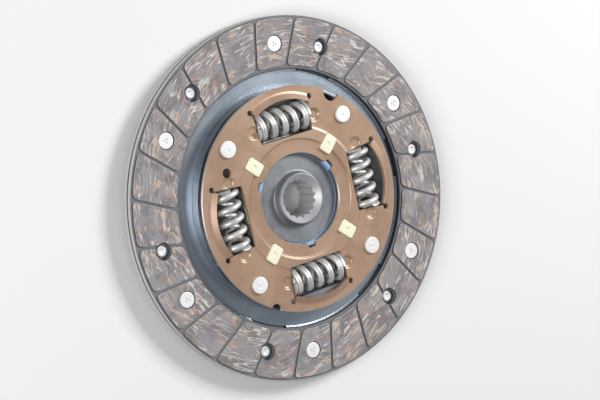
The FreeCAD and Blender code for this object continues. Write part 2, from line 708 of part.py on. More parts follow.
def rear_friction_washer():
    """The friction washer between the drive plate and the flange."""
    inner = REAR_BUSHING_R + RIVET_GAP
    return washer(inner, FRICTION_OUTER_R, DRIVE_TOP, DRIVE_TOP + REAR_WASHER_T)


def rear_bushing():
    """The flanged bushing that centres the drive plate on the hub's rear barrel."""
    bore = HUB_BARREL_R + SHAFT_GAP
    outline = [
        (bore, DRIVE_BOTTOM),
        (REAR_BUSHING_SLEEVE_R, DRIVE_BOTTOM),
        (REAR_BUSHING_SLEEVE_R, DRIVE_TOP),
        (REAR_BUSHING_R, DRIVE_TOP),
        (REAR_BUSHING_R, DRIVE_TOP + REAR_WASHER_T),
        (bore, DRIVE_TOP + REAR_WASHER_T),
    ]
    return revolved(outline)


def build_nodes():
    """Every piece of the disc under its node name."""
    ring = facing()
    rivets = facing_rivets()
    nodes = {
        "front_facing": moved(ring, z=FRONT_FACING_BACK),
        "rear_facing": moved(flipped_to_rear(ring), z=REAR_FACING_BACK),
        "front_facing_rivets": moved(rivets, z=FRONT_FACING_BACK),
        "rear_facing_rivets": moved(flipped_to_rear(rivets), z=REAR_FACING_BACK),
        "cushion_disc": cushion_disc(),
        "cover_plate": cover_plate(),
        "drive_plate": drive_plate(),
        "stop_pins": stop_pins(),
        "hub": hub(),
        "front_friction_ring": front_friction_ring(),
        "support_washer": support_washer(),
        "cone_spring": cone_spring(),
        "centering_bushing": centering_bushing(),
        "rear_friction_washer": rear_friction_washer(),
        "rear_bushing": rear_bushing(),
    }
    outer = coil_spring(OUTER_COIL_D, OUTER_WIRE_D, OUTER_TURNS, OUTER_TURN_STEPS, 1)
    inner = coil_spring(INNER_COIL_D, INNER_WIRE_D, INNER_TURNS, INNER_TURN_STEPS, -1)
    for i in range(SPRING_COUNT):
        nodes[f"outer_spring_{i + 1}"] = spring_at(outer, i)
        nodes[f"inner_spring_{i + 1}"] = spring_at(inner, i)
    return nodes


def main():
    """Writes one STEP file per node and prints what it holds."""
    os.makedirs("parts", exist_ok=True)
    for name, shape in build_nodes().items():
        shape.exportStep(f"parts/{name}.step")
        print(f"{name}: {len(shape.Solids)} solids, {shape.Volume:.0f} mm3, valid {shape.isValid()}")


main()
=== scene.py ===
"""Looks of a clutch disc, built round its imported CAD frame.

Lengths in the classes are millimetres and angles are degrees, in the frame of the CAD: the axis of
the shaft is Z, the cover plate faces +Z and the first damper spring lies across +X. A shape is a
surface worked out with numpy: a closed section carried round the axis, or an outline carried along
a path, with its heights given by a formula. Finishes are procedural node materials.
"""

import logging
import math
from collections.abc import Callable, Sequence
from dataclasses import dataclass, field
from enum import Enum

import bmesh
import bpy
import numpy as np
from mathutils import Matrix, Vector

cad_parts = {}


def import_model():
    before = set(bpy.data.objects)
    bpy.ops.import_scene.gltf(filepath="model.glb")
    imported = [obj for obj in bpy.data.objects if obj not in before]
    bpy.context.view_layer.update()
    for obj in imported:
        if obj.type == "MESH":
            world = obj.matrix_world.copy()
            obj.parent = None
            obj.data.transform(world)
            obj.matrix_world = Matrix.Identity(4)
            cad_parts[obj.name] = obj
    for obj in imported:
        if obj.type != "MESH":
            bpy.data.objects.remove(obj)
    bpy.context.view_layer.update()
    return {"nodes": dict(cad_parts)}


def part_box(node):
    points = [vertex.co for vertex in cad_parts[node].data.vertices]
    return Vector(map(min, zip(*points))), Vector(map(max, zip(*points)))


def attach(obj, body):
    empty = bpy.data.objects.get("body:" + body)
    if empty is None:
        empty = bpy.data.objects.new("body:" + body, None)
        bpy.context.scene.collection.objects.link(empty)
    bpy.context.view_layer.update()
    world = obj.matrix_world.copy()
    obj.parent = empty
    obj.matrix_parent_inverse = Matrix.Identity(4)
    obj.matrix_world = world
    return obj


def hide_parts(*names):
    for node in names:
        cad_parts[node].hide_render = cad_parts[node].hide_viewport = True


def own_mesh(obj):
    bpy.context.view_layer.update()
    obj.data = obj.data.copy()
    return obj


LOG = logging.getLogger("clutch_disc")
MM = 0.001
WINDOWS = 4  # spring windows; as many pins, pegs and notches stand between them
WINDOW_PITCH = 360.0 / WINDOWS
BETWEEN = WINDOW_PITCH / 2
MERGE_DISTANCE = 1e-7  # metres
BUMP_DISTANCE = 0.0003  # metres
MOST_EASE = 0.49  # the largest share of a side that one eased corner takes
LEAST_EASE = 1e-6  # a corner eased by less stays a point
Colour = tuple[float, float, float]
Span = tuple[float, float]


class Hand(Enum):
    """Which way a coil is wound."""

    RIGHT = 1
    LEFT = -1


class Facing(Enum):
    """Which way a piece of the front or the rear set looks."""

    FRONT = 1
    REAR = -1


class Strand(Enum):
    """How a strand of the lining looks, by the group's output."""

    SPOT = "Spots"
    LINE = "Lines"


# Shapes


@dataclass
class Shell:
    """Points and faces of one closed surface, in millimetres."""

    points: np.ndarray
    faces: list[list[int]]

    def moved(self, shift: Sequence[float]) -> "Shell":
        """A copy moved by the shift."""
        return Shell(self.points + np.asarray(shift, float), self.faces)

    def turned(self, angle: float) -> "Shell":
        """A copy turned about Z.

        Args:
            angle: How far, in degrees.

        Returns:
            The copy.
        """
        turn = math.radians(angle)
        matrix = np.array(
            [[math.cos(turn), -math.sin(turn), 0], [math.sin(turn), math.cos(turn), 0], [0, 0, 1]]
        )
        return Shell(self.points @ matrix.T, self.faces)

    def flipped(self, height: float) -> "Shell":
        """A copy turned over about X, its own zero then lying at the height."""
        return Shell(self.points * (1, -1, -1) + (0, 0, height), self.faces)


def joined(shells: Sequence[Shell]) -> Shell:
    """Several shells as one.

    Args:
        shells: The shells to put together.

    Returns:
        One shell with all their points and faces.
    """
    starts = np.cumsum([0] + [len(s.points) for s in shells[:-1]])
    faces = [[i + int(start) for i in f] for s, start in zip(shells, starts) for f in s.faces]
    return Shell(np.concatenate([s.points for s in shells]), faces)


def ring_of(shell: Shell, count: int, phase: float = 0.0) -> list[Shell]:
    """Copies of a shell spaced evenly round the axis, the first turned by the phase."""
    return [shell.turned(phase + 360.0 * i / count) for i in range(count)]


def grid_shell(points: np.ndarray, close_rows: bool = True) -> Shell:
    """A surface of two parameters as a mesh of four-sided faces, its last column joined to the first.

    Args:
        points: Array of rows by columns by three.
        close_rows: Whether the last row joins the first too.

    Returns:
        The shell, with a flat cap on each open end of the rows.
    """
    rows, columns = points.shape[:2]
    index = np.arange(rows * columns).reshape(rows, columns)
    along = index if not close_rows else np.vstack([index, index[:1]])
    grid = np.hstack([along, along[:, :1]])
    quads = np.stack([grid[:-1, :-1], grid[:-1, 1:], grid[1:, 1:], grid[1:, :-1]], axis=-1)
    faces = quads.reshape(-1, 4).tolist()
    if not close_rows:
        faces += [index[0].tolist(), index[-1][::-1].tolist()]
    return Shell(points.reshape(-1, 3), faces)


def round_axis(radius: np.ndarray, angle: np.ndarray, height: np.ndarray) -> np.ndarray:
    """Places by distance from the axis, angle and height: x = r cos a, y = r sin a, z = h.

    Args:
        radius: Distances, by row or by row and column.
        angle: Angles in degrees, in one row.
        height: Heights, by row or by row and column.

    Returns:
        Array of rows by columns by three.
    """
    turn = np.radians(angle)
    return np.stack(np.broadcast_arrays(radius * np.cos(turn), radius * np.sin(turn), height), axis=-1)


def even_angles(count: int) -> np.ndarray:
    """Evenly spaced angles round a circle, in one row."""
    return np.linspace(0, 360, count, endpoint=False)[None, :]


def revolved(section: np.ndarray, columns: int = 96) -> Shell:
    """A ring-shaped shell: a closed section of (radius, height) carried round the axis."""
    return grid_shell(round_axis(section[:, :1], even_angles(columns), section[:, 1:]))


def lathed(section: np.ndarray, columns: int = 40) -> Shell:
    """A solid of revolution from an open section that starts and ends on the axis."""
    points = round_axis(section[:, :1], even_angles(columns), section[:, 1:])
    return grid_shell(points, close_rows=False)


def rounded(corners: Sequence[Sequence[float]], closed: bool = True, steps: int = 4) -> np.ndarray:
    """An outline whose corners are eased by a parabola that touches both of its sides.

    Each point is (1-t)^2 A + 2t(1-t) P + t^2 B, where P is the corner and A and B lie on its sides.

    Args:
        corners: Rows of two coordinates and the length that the easing takes from each side.
        closed: Whether the last corner joins the first.
        steps: Points on each corner.

    Returns:
        Array of points by two.
    """
    table = np.asarray(corners, float)
    place, ease = table[:, :2], table[:, 2:3]
    back, ahead = np.roll(place, 1, axis=0) - place, np.roll(place, -1, axis=0) - place
    back_length = np.linalg.norm(back, axis=1, keepdims=True)
    ahead_length = np.linalg.norm(ahead, axis=1, keepdims=True)
    reach = np.minimum(ease, MOST_EASE * np.minimum(back_length, ahead_length))
    if not closed:
        reach[[0, -1]] = 0.0
    start = place + back / back_length * reach
    end = place + ahead / ahead_length * reach
    t = np.linspace(0, 1, steps)[None, :, None]
    curve = (1 - t) ** 2 * start[:, None] + 2 * t * (1 - t) * place[:, None] + t**2 * end[:, None]
    sharp = reach[:, 0] < LEAST_EASE
    parts = [c[:1] if s else c for c, s in zip(curve, sharp)]
    return np.concatenate(parts)


def oblong(low: Sequence[float], high: Sequence[float], ease: float) -> list[tuple[float, float, float]]:
    """The corners of a rectangle between two opposite ones, anticlockwise, each with its easing."""
    (a, c), (b, d) = low, high
    return [(a, c, ease), (b, c, ease), (b, d, ease), (a, d, ease)]


def tapered(root: Span, tip: Span, ease: float) -> np.ndarray:
    """The outline of a lug along +X: its root and its eased tip, each by distance and half width."""
    (a, wide), (b, slim) = root, tip
    return rounded([(a, -wide, 0), (b, -slim, ease), (b, slim, ease), (a, wide, 0)])


def prism(outline: np.ndarray, low: float, high: float) -> Shell:
    """An outline in the plane drawn upwards between two heights."""
    ends = [np.column_stack([outline, np.full(len(outline), z)]) for z in (low, high)]
    return grid_shell(np.stack(ends), close_rows=False)


def disc_outline(radius: float, centre: Sequence[float] = (0, 0), count: int = 40) -> np.ndarray:
    """Points round a circle in the plane."""
    turn = np.linspace(0, 2 * math.pi, count, endpoint=False)
    return np.column_stack([np.cos(turn), np.sin(turn)]) * radius + np.asarray(centre, float)


def sector_outline(inner: float, outer: float, half: float, count: int = 24) -> np.ndarray:
    """The outline of a ring sector centred on +X.

    Args:
        inner: Its smaller radius.
        outer: Its larger radius.
        half: Half its angle, in degrees.
        count: Points on each arc.

    Returns:
        Array of points by two.
    """
    turn = np.radians(np.linspace(-half, half, count))
    arc = np.column_stack([np.cos(turn), np.sin(turn)])
    return np.concatenate([arc * outer, arc[::-1] * inner])


def polar(radius: float, angle: float) -> np.ndarray:
    """A point of the plane by its distance from the axis and its angle in degrees."""
    turn = math.radians(angle)
    return np.array([radius * math.cos(turn), radius * math.sin(turn)])


def smooth(low: float, high: float, value: np.ndarray) -> np.ndarray:
    """The share from 0 below low to 1 above high, with level ends: 3t^2 - 2t^3."""
    t = np.clip((value - low) / (high - low), 0, 1)
    return t * t * (3 - 2 * t)


def edged(outline: np.ndarray, feet: Sequence[float], top: float, edge: Sequence[Span]) -> np.ndarray:
    """An anticlockwise outline carried straight up, then drawn inwards over a soft edge.

    Args:
        outline: Array of points by two.
        feet: The heights of the straight rows.
        top: The height of the top.
        edge: How far in, along its normals, and how far below the top each row of the edge lies.

    Returns:
        Array of rows by points by three.
    """
    insets = np.array([0.0] * len(feet) + [inset for inset, _ in edge])[:, None, None]
    heights = np.array([*feet, *(top - drop for _, drop in edge)])[:, None, None]
    tangent = np.roll(outline, -1, axis=0) - np.roll(outline, 1, axis=0)
    tangent = tangent / np.linalg.norm(tangent, axis=1, keepdims=True)
    inward = np.column_stack([-tangent[:, 1], tangent[:, 0]])
    rows = outline[None] + inward[None] * insets
    return np.concatenate([rows, np.broadcast_to(heights, rows.shape[:2] + (1,))], axis=-1)


def merged_angles(*sets: Sequence[float]) -> np.ndarray:
    """Angles of several sets in one rising row, each once."""
    return np.unique(np.round(np.concatenate(sets) % 360, 4))[None, :]


# Objects


def as_mesh(name: str, shell: Shell) -> bpy.types.Mesh:
    """A Blender mesh from a shell, in metres, its doubles merged and its faces pointing outwards.

    Args:
        name: The mesh's name.
        shell: What to convert.

    Returns:
        The mesh.
    """
    mesh = bpy.data.meshes.new(name)
    mesh.from_pydata((shell.points * MM).tolist(), [], shell.faces)
    work = bmesh.new()
    work.from_mesh(mesh)
    bmesh.ops.remove_doubles(work, verts=work.verts, dist=MERGE_DISTANCE)
    bmesh.ops.recalc_face_normals(work, faces=work.faces)
    work.to_mesh(mesh)
    work.free()
    return mesh


def as_object(name: str, mesh: bpy.types.Mesh) -> bpy.types.Object:
    """An object at the origin that shows the mesh.

    Args:
        name: The object's name.
        mesh: What it shows.

    Returns:
        The object.
    """
    piece = bpy.data.objects.new(name, mesh)
    bpy.context.scene.collection.objects.link(piece)
    return piece


def carved(name: str, shell: Shell, cutter_sets: Sequence[Sequence[Shell]]) -> bpy.types.Mesh:
    """A shell with cutters taken out of it.

    Args:
        name: The mesh's name.
        shell: What is cut.
        cutter_sets: Lists of cutters. Those of one list stay clear of each other.

    Returns:
        The cut mesh.
    """
    work = as_object(name, as_mesh(name, shell))
    tools = [as_object(f"{name}.cut", as_mesh(f"{name}.cut", joined(s))) for s in cutter_sets]
    for tool in tools:
        cut = work.modifiers.new("cut", "BOOLEAN")
        cut.operation = "DIFFERENCE"
        cut.solver = "EXACT"
        cut.object = tool
    bpy.context.view_layer.update()
    evaluated = work.evaluated_get(bpy.context.evaluated_depsgraph_get())
    mesh = bpy.data.meshes.new_from_object(evaluated)
    for spare in [work, *tools]:
        bpy.data.objects.remove(spare)
    return mesh


def put(
    name: str,
    meshes: Sequence[bpy.types.Mesh],
    body: str,
    nodes: Sequence[str],
    material: bpy.types.Material,
    sharp: float = 35.0,
) -> bpy.types.Object:
    """Makes one finished piece that stands for CAD nodes and rides on their body.

    Args:
        name: The piece's name.
        meshes: Its meshes, which are joined.
        body: The CAD body that carries it.
        nodes: The CAD nodes that it replaces.
        material: Its finish.
        sharp: The angle in degrees past which an edge stays crisp.

    Returns:
        The piece.
    """
    work = bmesh.new()
    for mesh in meshes:
        work.from_mesh(mesh)
    mesh = bpy.data.meshes.new(name)
    work.to_mesh(mesh)
    work.free()
    mesh.materials.append(material)
    mesh.polygons.foreach_set("material_index", np.zeros(len(mesh.polygons), np.int32))
    mesh.polygons.foreach_set("use_smooth", np.ones(len(mesh.polygons), bool))
    mesh.set_sharp_from_angle(angle=math.radians(sharp))
    piece = as_object(name, mesh)
    flatter = piece.modifiers.new("weighted_normals", "WEIGHTED_NORMAL")
    flatter.keep_sharp = True
    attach(piece, body)
    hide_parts(*nodes)
    LOG.info("%s: %d faces, on body %s", name, len(mesh.polygons), body)
    return piece


def node_range(node: str) -> Span:
    """The lowest and highest height of a CAD node, in millimetres."""
    low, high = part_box(node)
    return low.z / MM, high.z / MM


# Finishes


class Graph:
    """Adds nodes to one node tree and joins them."""

    def __init__(self, tree: bpy.types.NodeTree) -> None:
        """Keeps the tree that the nodes go into."""
        self.tree = tree

    def node(self, kind: str, ports: dict | None = None, **settings: object) -> bpy.types.Node:
        """Adds one node.

        Args:
            kind: The node's type name, without its ShaderNode prefix.
            ports: Values or sockets by input name or number.
            settings: Properties of the node itself.

        Returns:
            The node.
        """
        made = self.tree.nodes.new("ShaderNode" + kind)
        for key, value in settings.items():
            setattr(made, key, value)
        for key, value in (ports or {}).items():
            self.feed(made.inputs[key], value)
        return made

    def feed(self, port: bpy.types.NodeSocket, value: object) -> None:
        """Links a socket to the port, or writes a constant on it.

        Args:
            port: The input.
            value: A socket, a number or a colour.
        """
        if isinstance(value, bpy.types.NodeSocket):
            self.tree.links.new(value, port)
        elif isinstance(value, tuple) and len(value) == 3 and port.type == "RGBA":
            port.default_value = (*value, 1.0)
        else:
            port.default_value = value

    def math(self, operation: str, *values: object) -> bpy.types.NodeSocket:
        """The result of one sum on its values."""
        return self.node("Math", dict(enumerate(values)), operation=operation).outputs[0]

    def ramp(self, value: object, low: float, high: float, reach: object = 1.0) -> bpy.types.NodeSocket:
        """A smooth step from 0 at low to the reach at high."""
        ports = {"Value": value, "From Min": low, "From Max": high, "To Max": reach}
        return self.node("MapRange", ports, interpolation_type="SMOOTHSTEP").outputs[0]

    def fade(self, value: object, ends: Span) -> bpy.types.NodeSocket:
        """A smooth step from 0 at the first distance to 1 at the second, both in millimetres."""
        return self.ramp(value, ends[0] * MM, ends[1] * MM)

    def vector(self, operation: str, ports: dict) -> bpy.types.NodeSocket:
        """The vector that one vector sum gives."""
        return self.node("VectorMath", ports, operation=operation).outputs[0]

    def radius(self, place: object) -> bpy.types.NodeSocket:
        """The distance from the disc's axis.

        Args:
            place: The piece's own coordinates.

        Returns:
            The distance, in metres.
        """
        parts = self.node("SeparateXYZ", {0: place})
        flat = self.node("CombineXYZ", {0: parts.outputs[0], 1: parts.outputs[1]})
        return self.node("VectorMath", {0: flat.outputs[0]}, operation="LENGTH").outputs["Value"]

    def noise(
        self, vector: object, scale: object, detail: float = 2.0, bend: float = 0.0
    ) -> bpy.types.NodeSocket:
        """A soft random value that varies over space."""
        ports = {"Vector": vector, "Scale": scale, "Detail": detail, "Distortion": bend}
        return self.node("TexNoise", ports).outputs[0]

    def mix(self, share: object, first: object, second: object) -> bpy.types.NodeSocket:
        """A blend of two colours.

        Args:
            share: How much of the second shows, from 0 to 1.
            first: The colour below.
            second: The colour above.

        Returns:
            The blended colour.
        """
        made = self.node("Mix", data_type="RGBA")
        for number, value in ((0, share), (6, first), (7, second)):
            self.feed(made.inputs[number], value)
        return made.outputs[2]

    def bump(self, shader: bpy.types.Node, height: object, strength: float) -> None:
        """Feeds a height to a shader's normal."""
        made = self.node("Bump", {"Height": height, "Strength": strength, "Distance": BUMP_DISTANCE})
        self.feed(shader.inputs["Normal"], made.outputs[0])


def new_group(
    name: str, inputs: dict[str, tuple[str, object]], outputs: dict[str, str]
) -> tuple[bpy.types.NodeTree, Graph, bpy.types.Node, bpy.types.Node]:
    """An empty shader node group with named sockets.

    Args:
        name: The group's name.
        inputs: Socket kind and starting value by name.
        outputs: Socket kind by name.

    Returns:
        The group, its graph, and its input and output nodes.
    """
    tree = bpy.data.node_groups.new(name, "ShaderNodeTree")
    for label, (kind, value) in inputs.items():
        made = tree.interface.new_socket(name=label, in_out="INPUT", socket_type=f"NodeSocket{kind}")
        if value is not None:
            made.default_value = value
    for label, kind in outputs.items():
        tree.interface.new_socket(name=label, in_out="OUTPUT", socket_type=f"NodeSocket{kind}")
    source = tree.nodes.new("NodeGroupInput")
    sink = tree.nodes.new("NodeGroupOutput")
    return tree, Graph(tree), source, sink


def mottle_group() -> bpy.types.NodeTree:
    """Soft patches over a whole piece: seven parts of wide noise and three of a finer one.

    Returns:
        The group.
    """
    inputs = {"Vector": ("Vector", None), "Scale": ("Float", 40.0)}
    tree, g, source, sink = new_group("mottle", inputs, {"Value": "Float"})
    place, scale = source.outputs["Vector"], source.outputs["Scale"]
    wide_share, fine_share, fine_ratio = 0.7, 0.3, 5.3
    wide = g.noise(place, scale, detail=2.0, bend=0.4)
    fine = g.noise(place, g.math("MULTIPLY", scale, fine_ratio), detail=3.0)
    value = g.math("ADD", g.math("MULTIPLY", wide, wide_share), g.math("MULTIPLY", fine, fine_share))
    g.feed(sink.inputs["Value"], value)
    return tree


def grain_group() -> bpy.types.NodeTree:
    """The fine tooth of a rolled or moulded surface, as a height and a value.

    Returns:
        The group.
    """
    inputs = {"Vector": ("Vector", None), "Scale": ("Float", 1500.0)}
    tree, g, source, sink = new_group("grain", inputs, {"Height": "Float", "Value": "Float"})
    speckle = g.noise(source.outputs["Vector"], source.outputs["Scale"], detail=4.0)
    g.feed(sink.inputs["Height"], speckle)
    g.feed(sink.inputs["Value"], g.ramp(speckle, low=0.35, high=0.65))
    return tree


def turned_group() -> bpy.types.NodeTree:
    """Marks of a lathe: noise read along the distance from the axis and the height only.

    Returns:
        The group.
    """
    inputs = {"Vector": ("Vector", None), "Scale": ("Float", 2500.0)}
    tree, g, source, sink = new_group("turned_marks", inputs, {"Height": "Float", "Value": "Float"})
    place = source.outputs["Vector"]
    height = g.node("SeparateXYZ", {0: place}).outputs[2]
    track = g.node("CombineXYZ", {0: g.radius(place), 1: 0.0, 2: height})
    marks = g.noise(track.outputs[0], source.outputs["Scale"], detail=2.0)
    g.feed(sink.inputs["Height"], marks)
    g.feed(sink.inputs["Value"], g.ramp(marks, low=0.3, high=0.7))
    return tree


def strand_group() -> bpy.types.NodeTree:
    """Strands that lie in one direction, in loose bundles: long narrow spots, and thin wavy lines.

    The map is bent a little by a soft noise, turned, then squeezed across the strands. What stands
    above the threshold is a spot, what lies within the band around it is a line, and a wider noise
    tells where a bundle lies.

    Returns:
        The group.
    """
    numbers = {
        "Turn": 0.4,
        "Length": 60.0,
        "Width": 700.0,
        "Bundles": 110.0,
        "Cover": 0.5,
        "Threshold": 0.55,
        "Band": 0.05,
        "Seed": 0.0,
    }
    inputs = {"Vector": ("Vector", None), **{label: ("Float", value) for label, value in numbers.items()}}
    tree, g, source, sink = new_group("strands", inputs, {"Spots": "Float", "Lines": "Float"})
    given = source.outputs
    place = given["Vector"]
    sway, sway_scale, soft, thin = 0.005, 70.0, 0.05, 0.35
    bent = g.node("TexNoise", {"Vector": place, "Scale": sway_scale, "Detail": 1.0}).outputs["Color"]
    swayed = g.vector("ADD", {0: place, 1: g.vector("SCALE", {0: bent, "Scale": sway})})
    turned = g.node("VectorRotate", {"Vector": swayed, "Angle": given["Turn"]}, rotation_type="Z_AXIS")
    squeeze = g.node("CombineXYZ", {0: given["Length"], 1: given["Width"]})
    stretched = g.vector("MULTIPLY", {0: turned.outputs[0], 1: squeeze.outputs[0]})
    lift = g.node("CombineXYZ", {2: given["Seed"]}).outputs[0]
    line = g.noise(g.vector("ADD", {0: stretched, 1: lift}), 1.0, detail=1.0)
    low, band = given["Threshold"], given["Band"]
    spot = g.ramp(line, low, g.math("ADD", low, soft))
    away = g.math("ABSOLUTE", g.math("SUBTRACT", line, low))
    thread = g.ramp(away, band, g.math("MULTIPLY", band, thin))
    wide = g.noise(g.vector("ADD", {0: place, 1: lift}), given["Bundles"], detail=2.0)
    start = g.math("SUBTRACT", 1.0, given["Cover"])
    shown = g.ramp(wide, start, g.math("ADD", start, soft))
    g.feed(sink.inputs["Spots"], g.math("MULTIPLY", spot, shown))
    g.feed(sink.inputs["Lines"], g.math("MULTIPLY", thread, shown))
    return tree


class Effects:
    """The shared node groups, each built once."""

    def __init__(self) -> None:
        """Builds the groups."""
        self.mottle = mottle_group()
        self.grain = grain_group()
        self.turned = turned_group()
        self.strands = strand_group()

    def place(self, graph: Graph, tree: bpy.types.NodeTree, **values: object) -> bpy.types.Node:
        """Puts a group into a material.

        Args:
            graph: The material's graph.
            tree: The group.
            values: Numbers or sockets by the group's input name.

        Returns:
            The group's node.
        """
        made = graph.node("Group")
        made.node_tree = tree
        for key, value in values.items():
            graph.feed(made.inputs[key], value)
        return made


def new_material(name: str) -> tuple[bpy.types.Material, Graph, bpy.types.Node, bpy.types.NodeSocket]:
    """A node material.

    Args:
        name: The material's name.

    Returns:
        The material, its graph, its main shader and the piece's own coordinates.
    """
    material = bpy.data.materials.new(name)
    material.use_nodes = True
    graph = Graph(material.node_tree)
    shader = material.node_tree.nodes["Principled BSDF"]
    coordinates = graph.node("TexCoord").outputs["Object"]
    return material, graph, shader, coordinates


@dataclass(frozen=True)
class MetalFinish:
    """A bare or coated metal with soft patches, fine grain and, on turned work, lathe marks.

    Zones beyond or within a distance from the axis may have a tone of their own: bare cut edges, or painted
    light on a bore.
    Each zone is the distance where it starts to show and the one where it is full.
    """

    name: str
    light: Colour
    dark: Colour
    metallic: float
    smoothest: float
    roughest: float
    patch_scale: float
    grain_scale: float = 1800.0
    grain_depth: float = 0.06
    turned: bool = False
    coat: float = 0.0
    coat_roughness: float = 0.03
    zones: tuple[Span, ...] = ()
    zone_tone: Colour = (0.6, 0.6, 0.6)
    zone_metallic: float = 0.5

    def build(self, effects: Effects) -> bpy.types.Material:
        """Makes the material.

        Args:
            effects: The shared groups.

        Returns:
            The material.
        """
        material, g, shader, place = new_material(self.name)
        patches = effects.place(g, effects.mottle, Vector=place, Scale=self.patch_scale)
        tree = effects.turned if self.turned else effects.grain
        tooth = effects.place(g, tree, Vector=place, Scale=self.grain_scale)
        share = g.ramp(patches.outputs["Value"], low=0.35, high=0.65)
        tone = g.mix(share, self.dark, self.light)
        shader.inputs["Metallic"].default_value = self.metallic
        if self.zones:
            radius = g.radius(place)
            masks = [g.fade(radius, zone) for zone in self.zones]
            shown = masks[0] if len(masks) == 1 else g.math("MAXIMUM", *masks)
            tone = g.mix(shown, tone, self.zone_tone)
            change = self.zone_metallic - self.metallic
            g.feed(shader.inputs["Metallic"], g.math("MULTIPLY_ADD", shown, change, self.metallic))
        g.feed(shader.inputs["Base Color"], tone)
        shader.inputs["Coat Weight"].default_value = self.coat
        shader.inputs["Coat Roughness"].default_value = self.coat_roughness
        even = g.math("MULTIPLY", g.math("ADD", share, tooth.outputs["Value"]), 0.5)
        spread = self.roughest - self.smoothest
        g.feed(shader.inputs["Roughness"], g.math("MULTIPLY_ADD", even, spread, self.smoothest))
        g.bump(shader, tooth.outputs["Height"], self.grain_depth)
        return material


@dataclass(frozen=True)
class PlasticFinish:
    """A moulded plastic with a fine tooth and a slight change of tone."""

    name: str
    light: Colour
    dark: Colour
    smoothest: float = 0.35
    roughest: float = 0.5
    patch_scale: float = 120.0
    grain_scale: float = 900.0
    grain_depth: float = 0.12

    def build(self, effects: Effects) -> bpy.types.Material:
        """Makes the material.

        Args:
            effects: The shared groups.

        Returns:
            The material.
        """
        material, g, shader, place = new_material(self.name)
        patches = effects.place(g, effects.mottle, Vector=place, Scale=self.patch_scale)
        tooth = effects.place(g, effects.grain, Vector=place, Scale=self.grain_scale)
        g.feed(shader.inputs["Base Color"], g.mix(patches.outputs["Value"], self.dark, self.light))
        spread = self.roughest - self.smoothest
        rough = g.math("MULTIPLY_ADD", tooth.outputs["Value"], spread, self.smoothest)
        g.feed(shader.inputs["Roughness"], rough)
        g.bump(shader, tooth.outputs["Height"], self.grain_depth)
        return material


@dataclass(frozen=True)
class StrandLayer:
    """One layer of strands in the lining.

    Its turn is in radians. Length, width and bundles are scales, per metre of the facing's map.
    """

    kind: Strand
    colour: Colour
    strength: float
    turn: float
    length: float
    width: float
    bundles: float
    cover: float
    threshold: float
    band: float
    seed: float

    def place(self, g: Graph, effects: Effects, chart: bpy.types.NodeSocket) -> bpy.types.NodeSocket:
        """Puts the layer into a material.

        Args:
            g: The material's graph.
            effects: The shared groups.
            chart: The facing's own map.

        Returns:
            How much of a strand lies at a point, from 0 to 1.
        """
        made = effects.place(
            g,
            effects.strands,
            Vector=chart,
            Turn=self.turn,
            Length=self.length,
            Width=self.width,
            Bundles=self.bundles,
            Cover=self.cover,
            Threshold=self.threshold,
            Band=self.band,
            Seed=self.seed,
        )
        return made.outputs[self.kind.value]


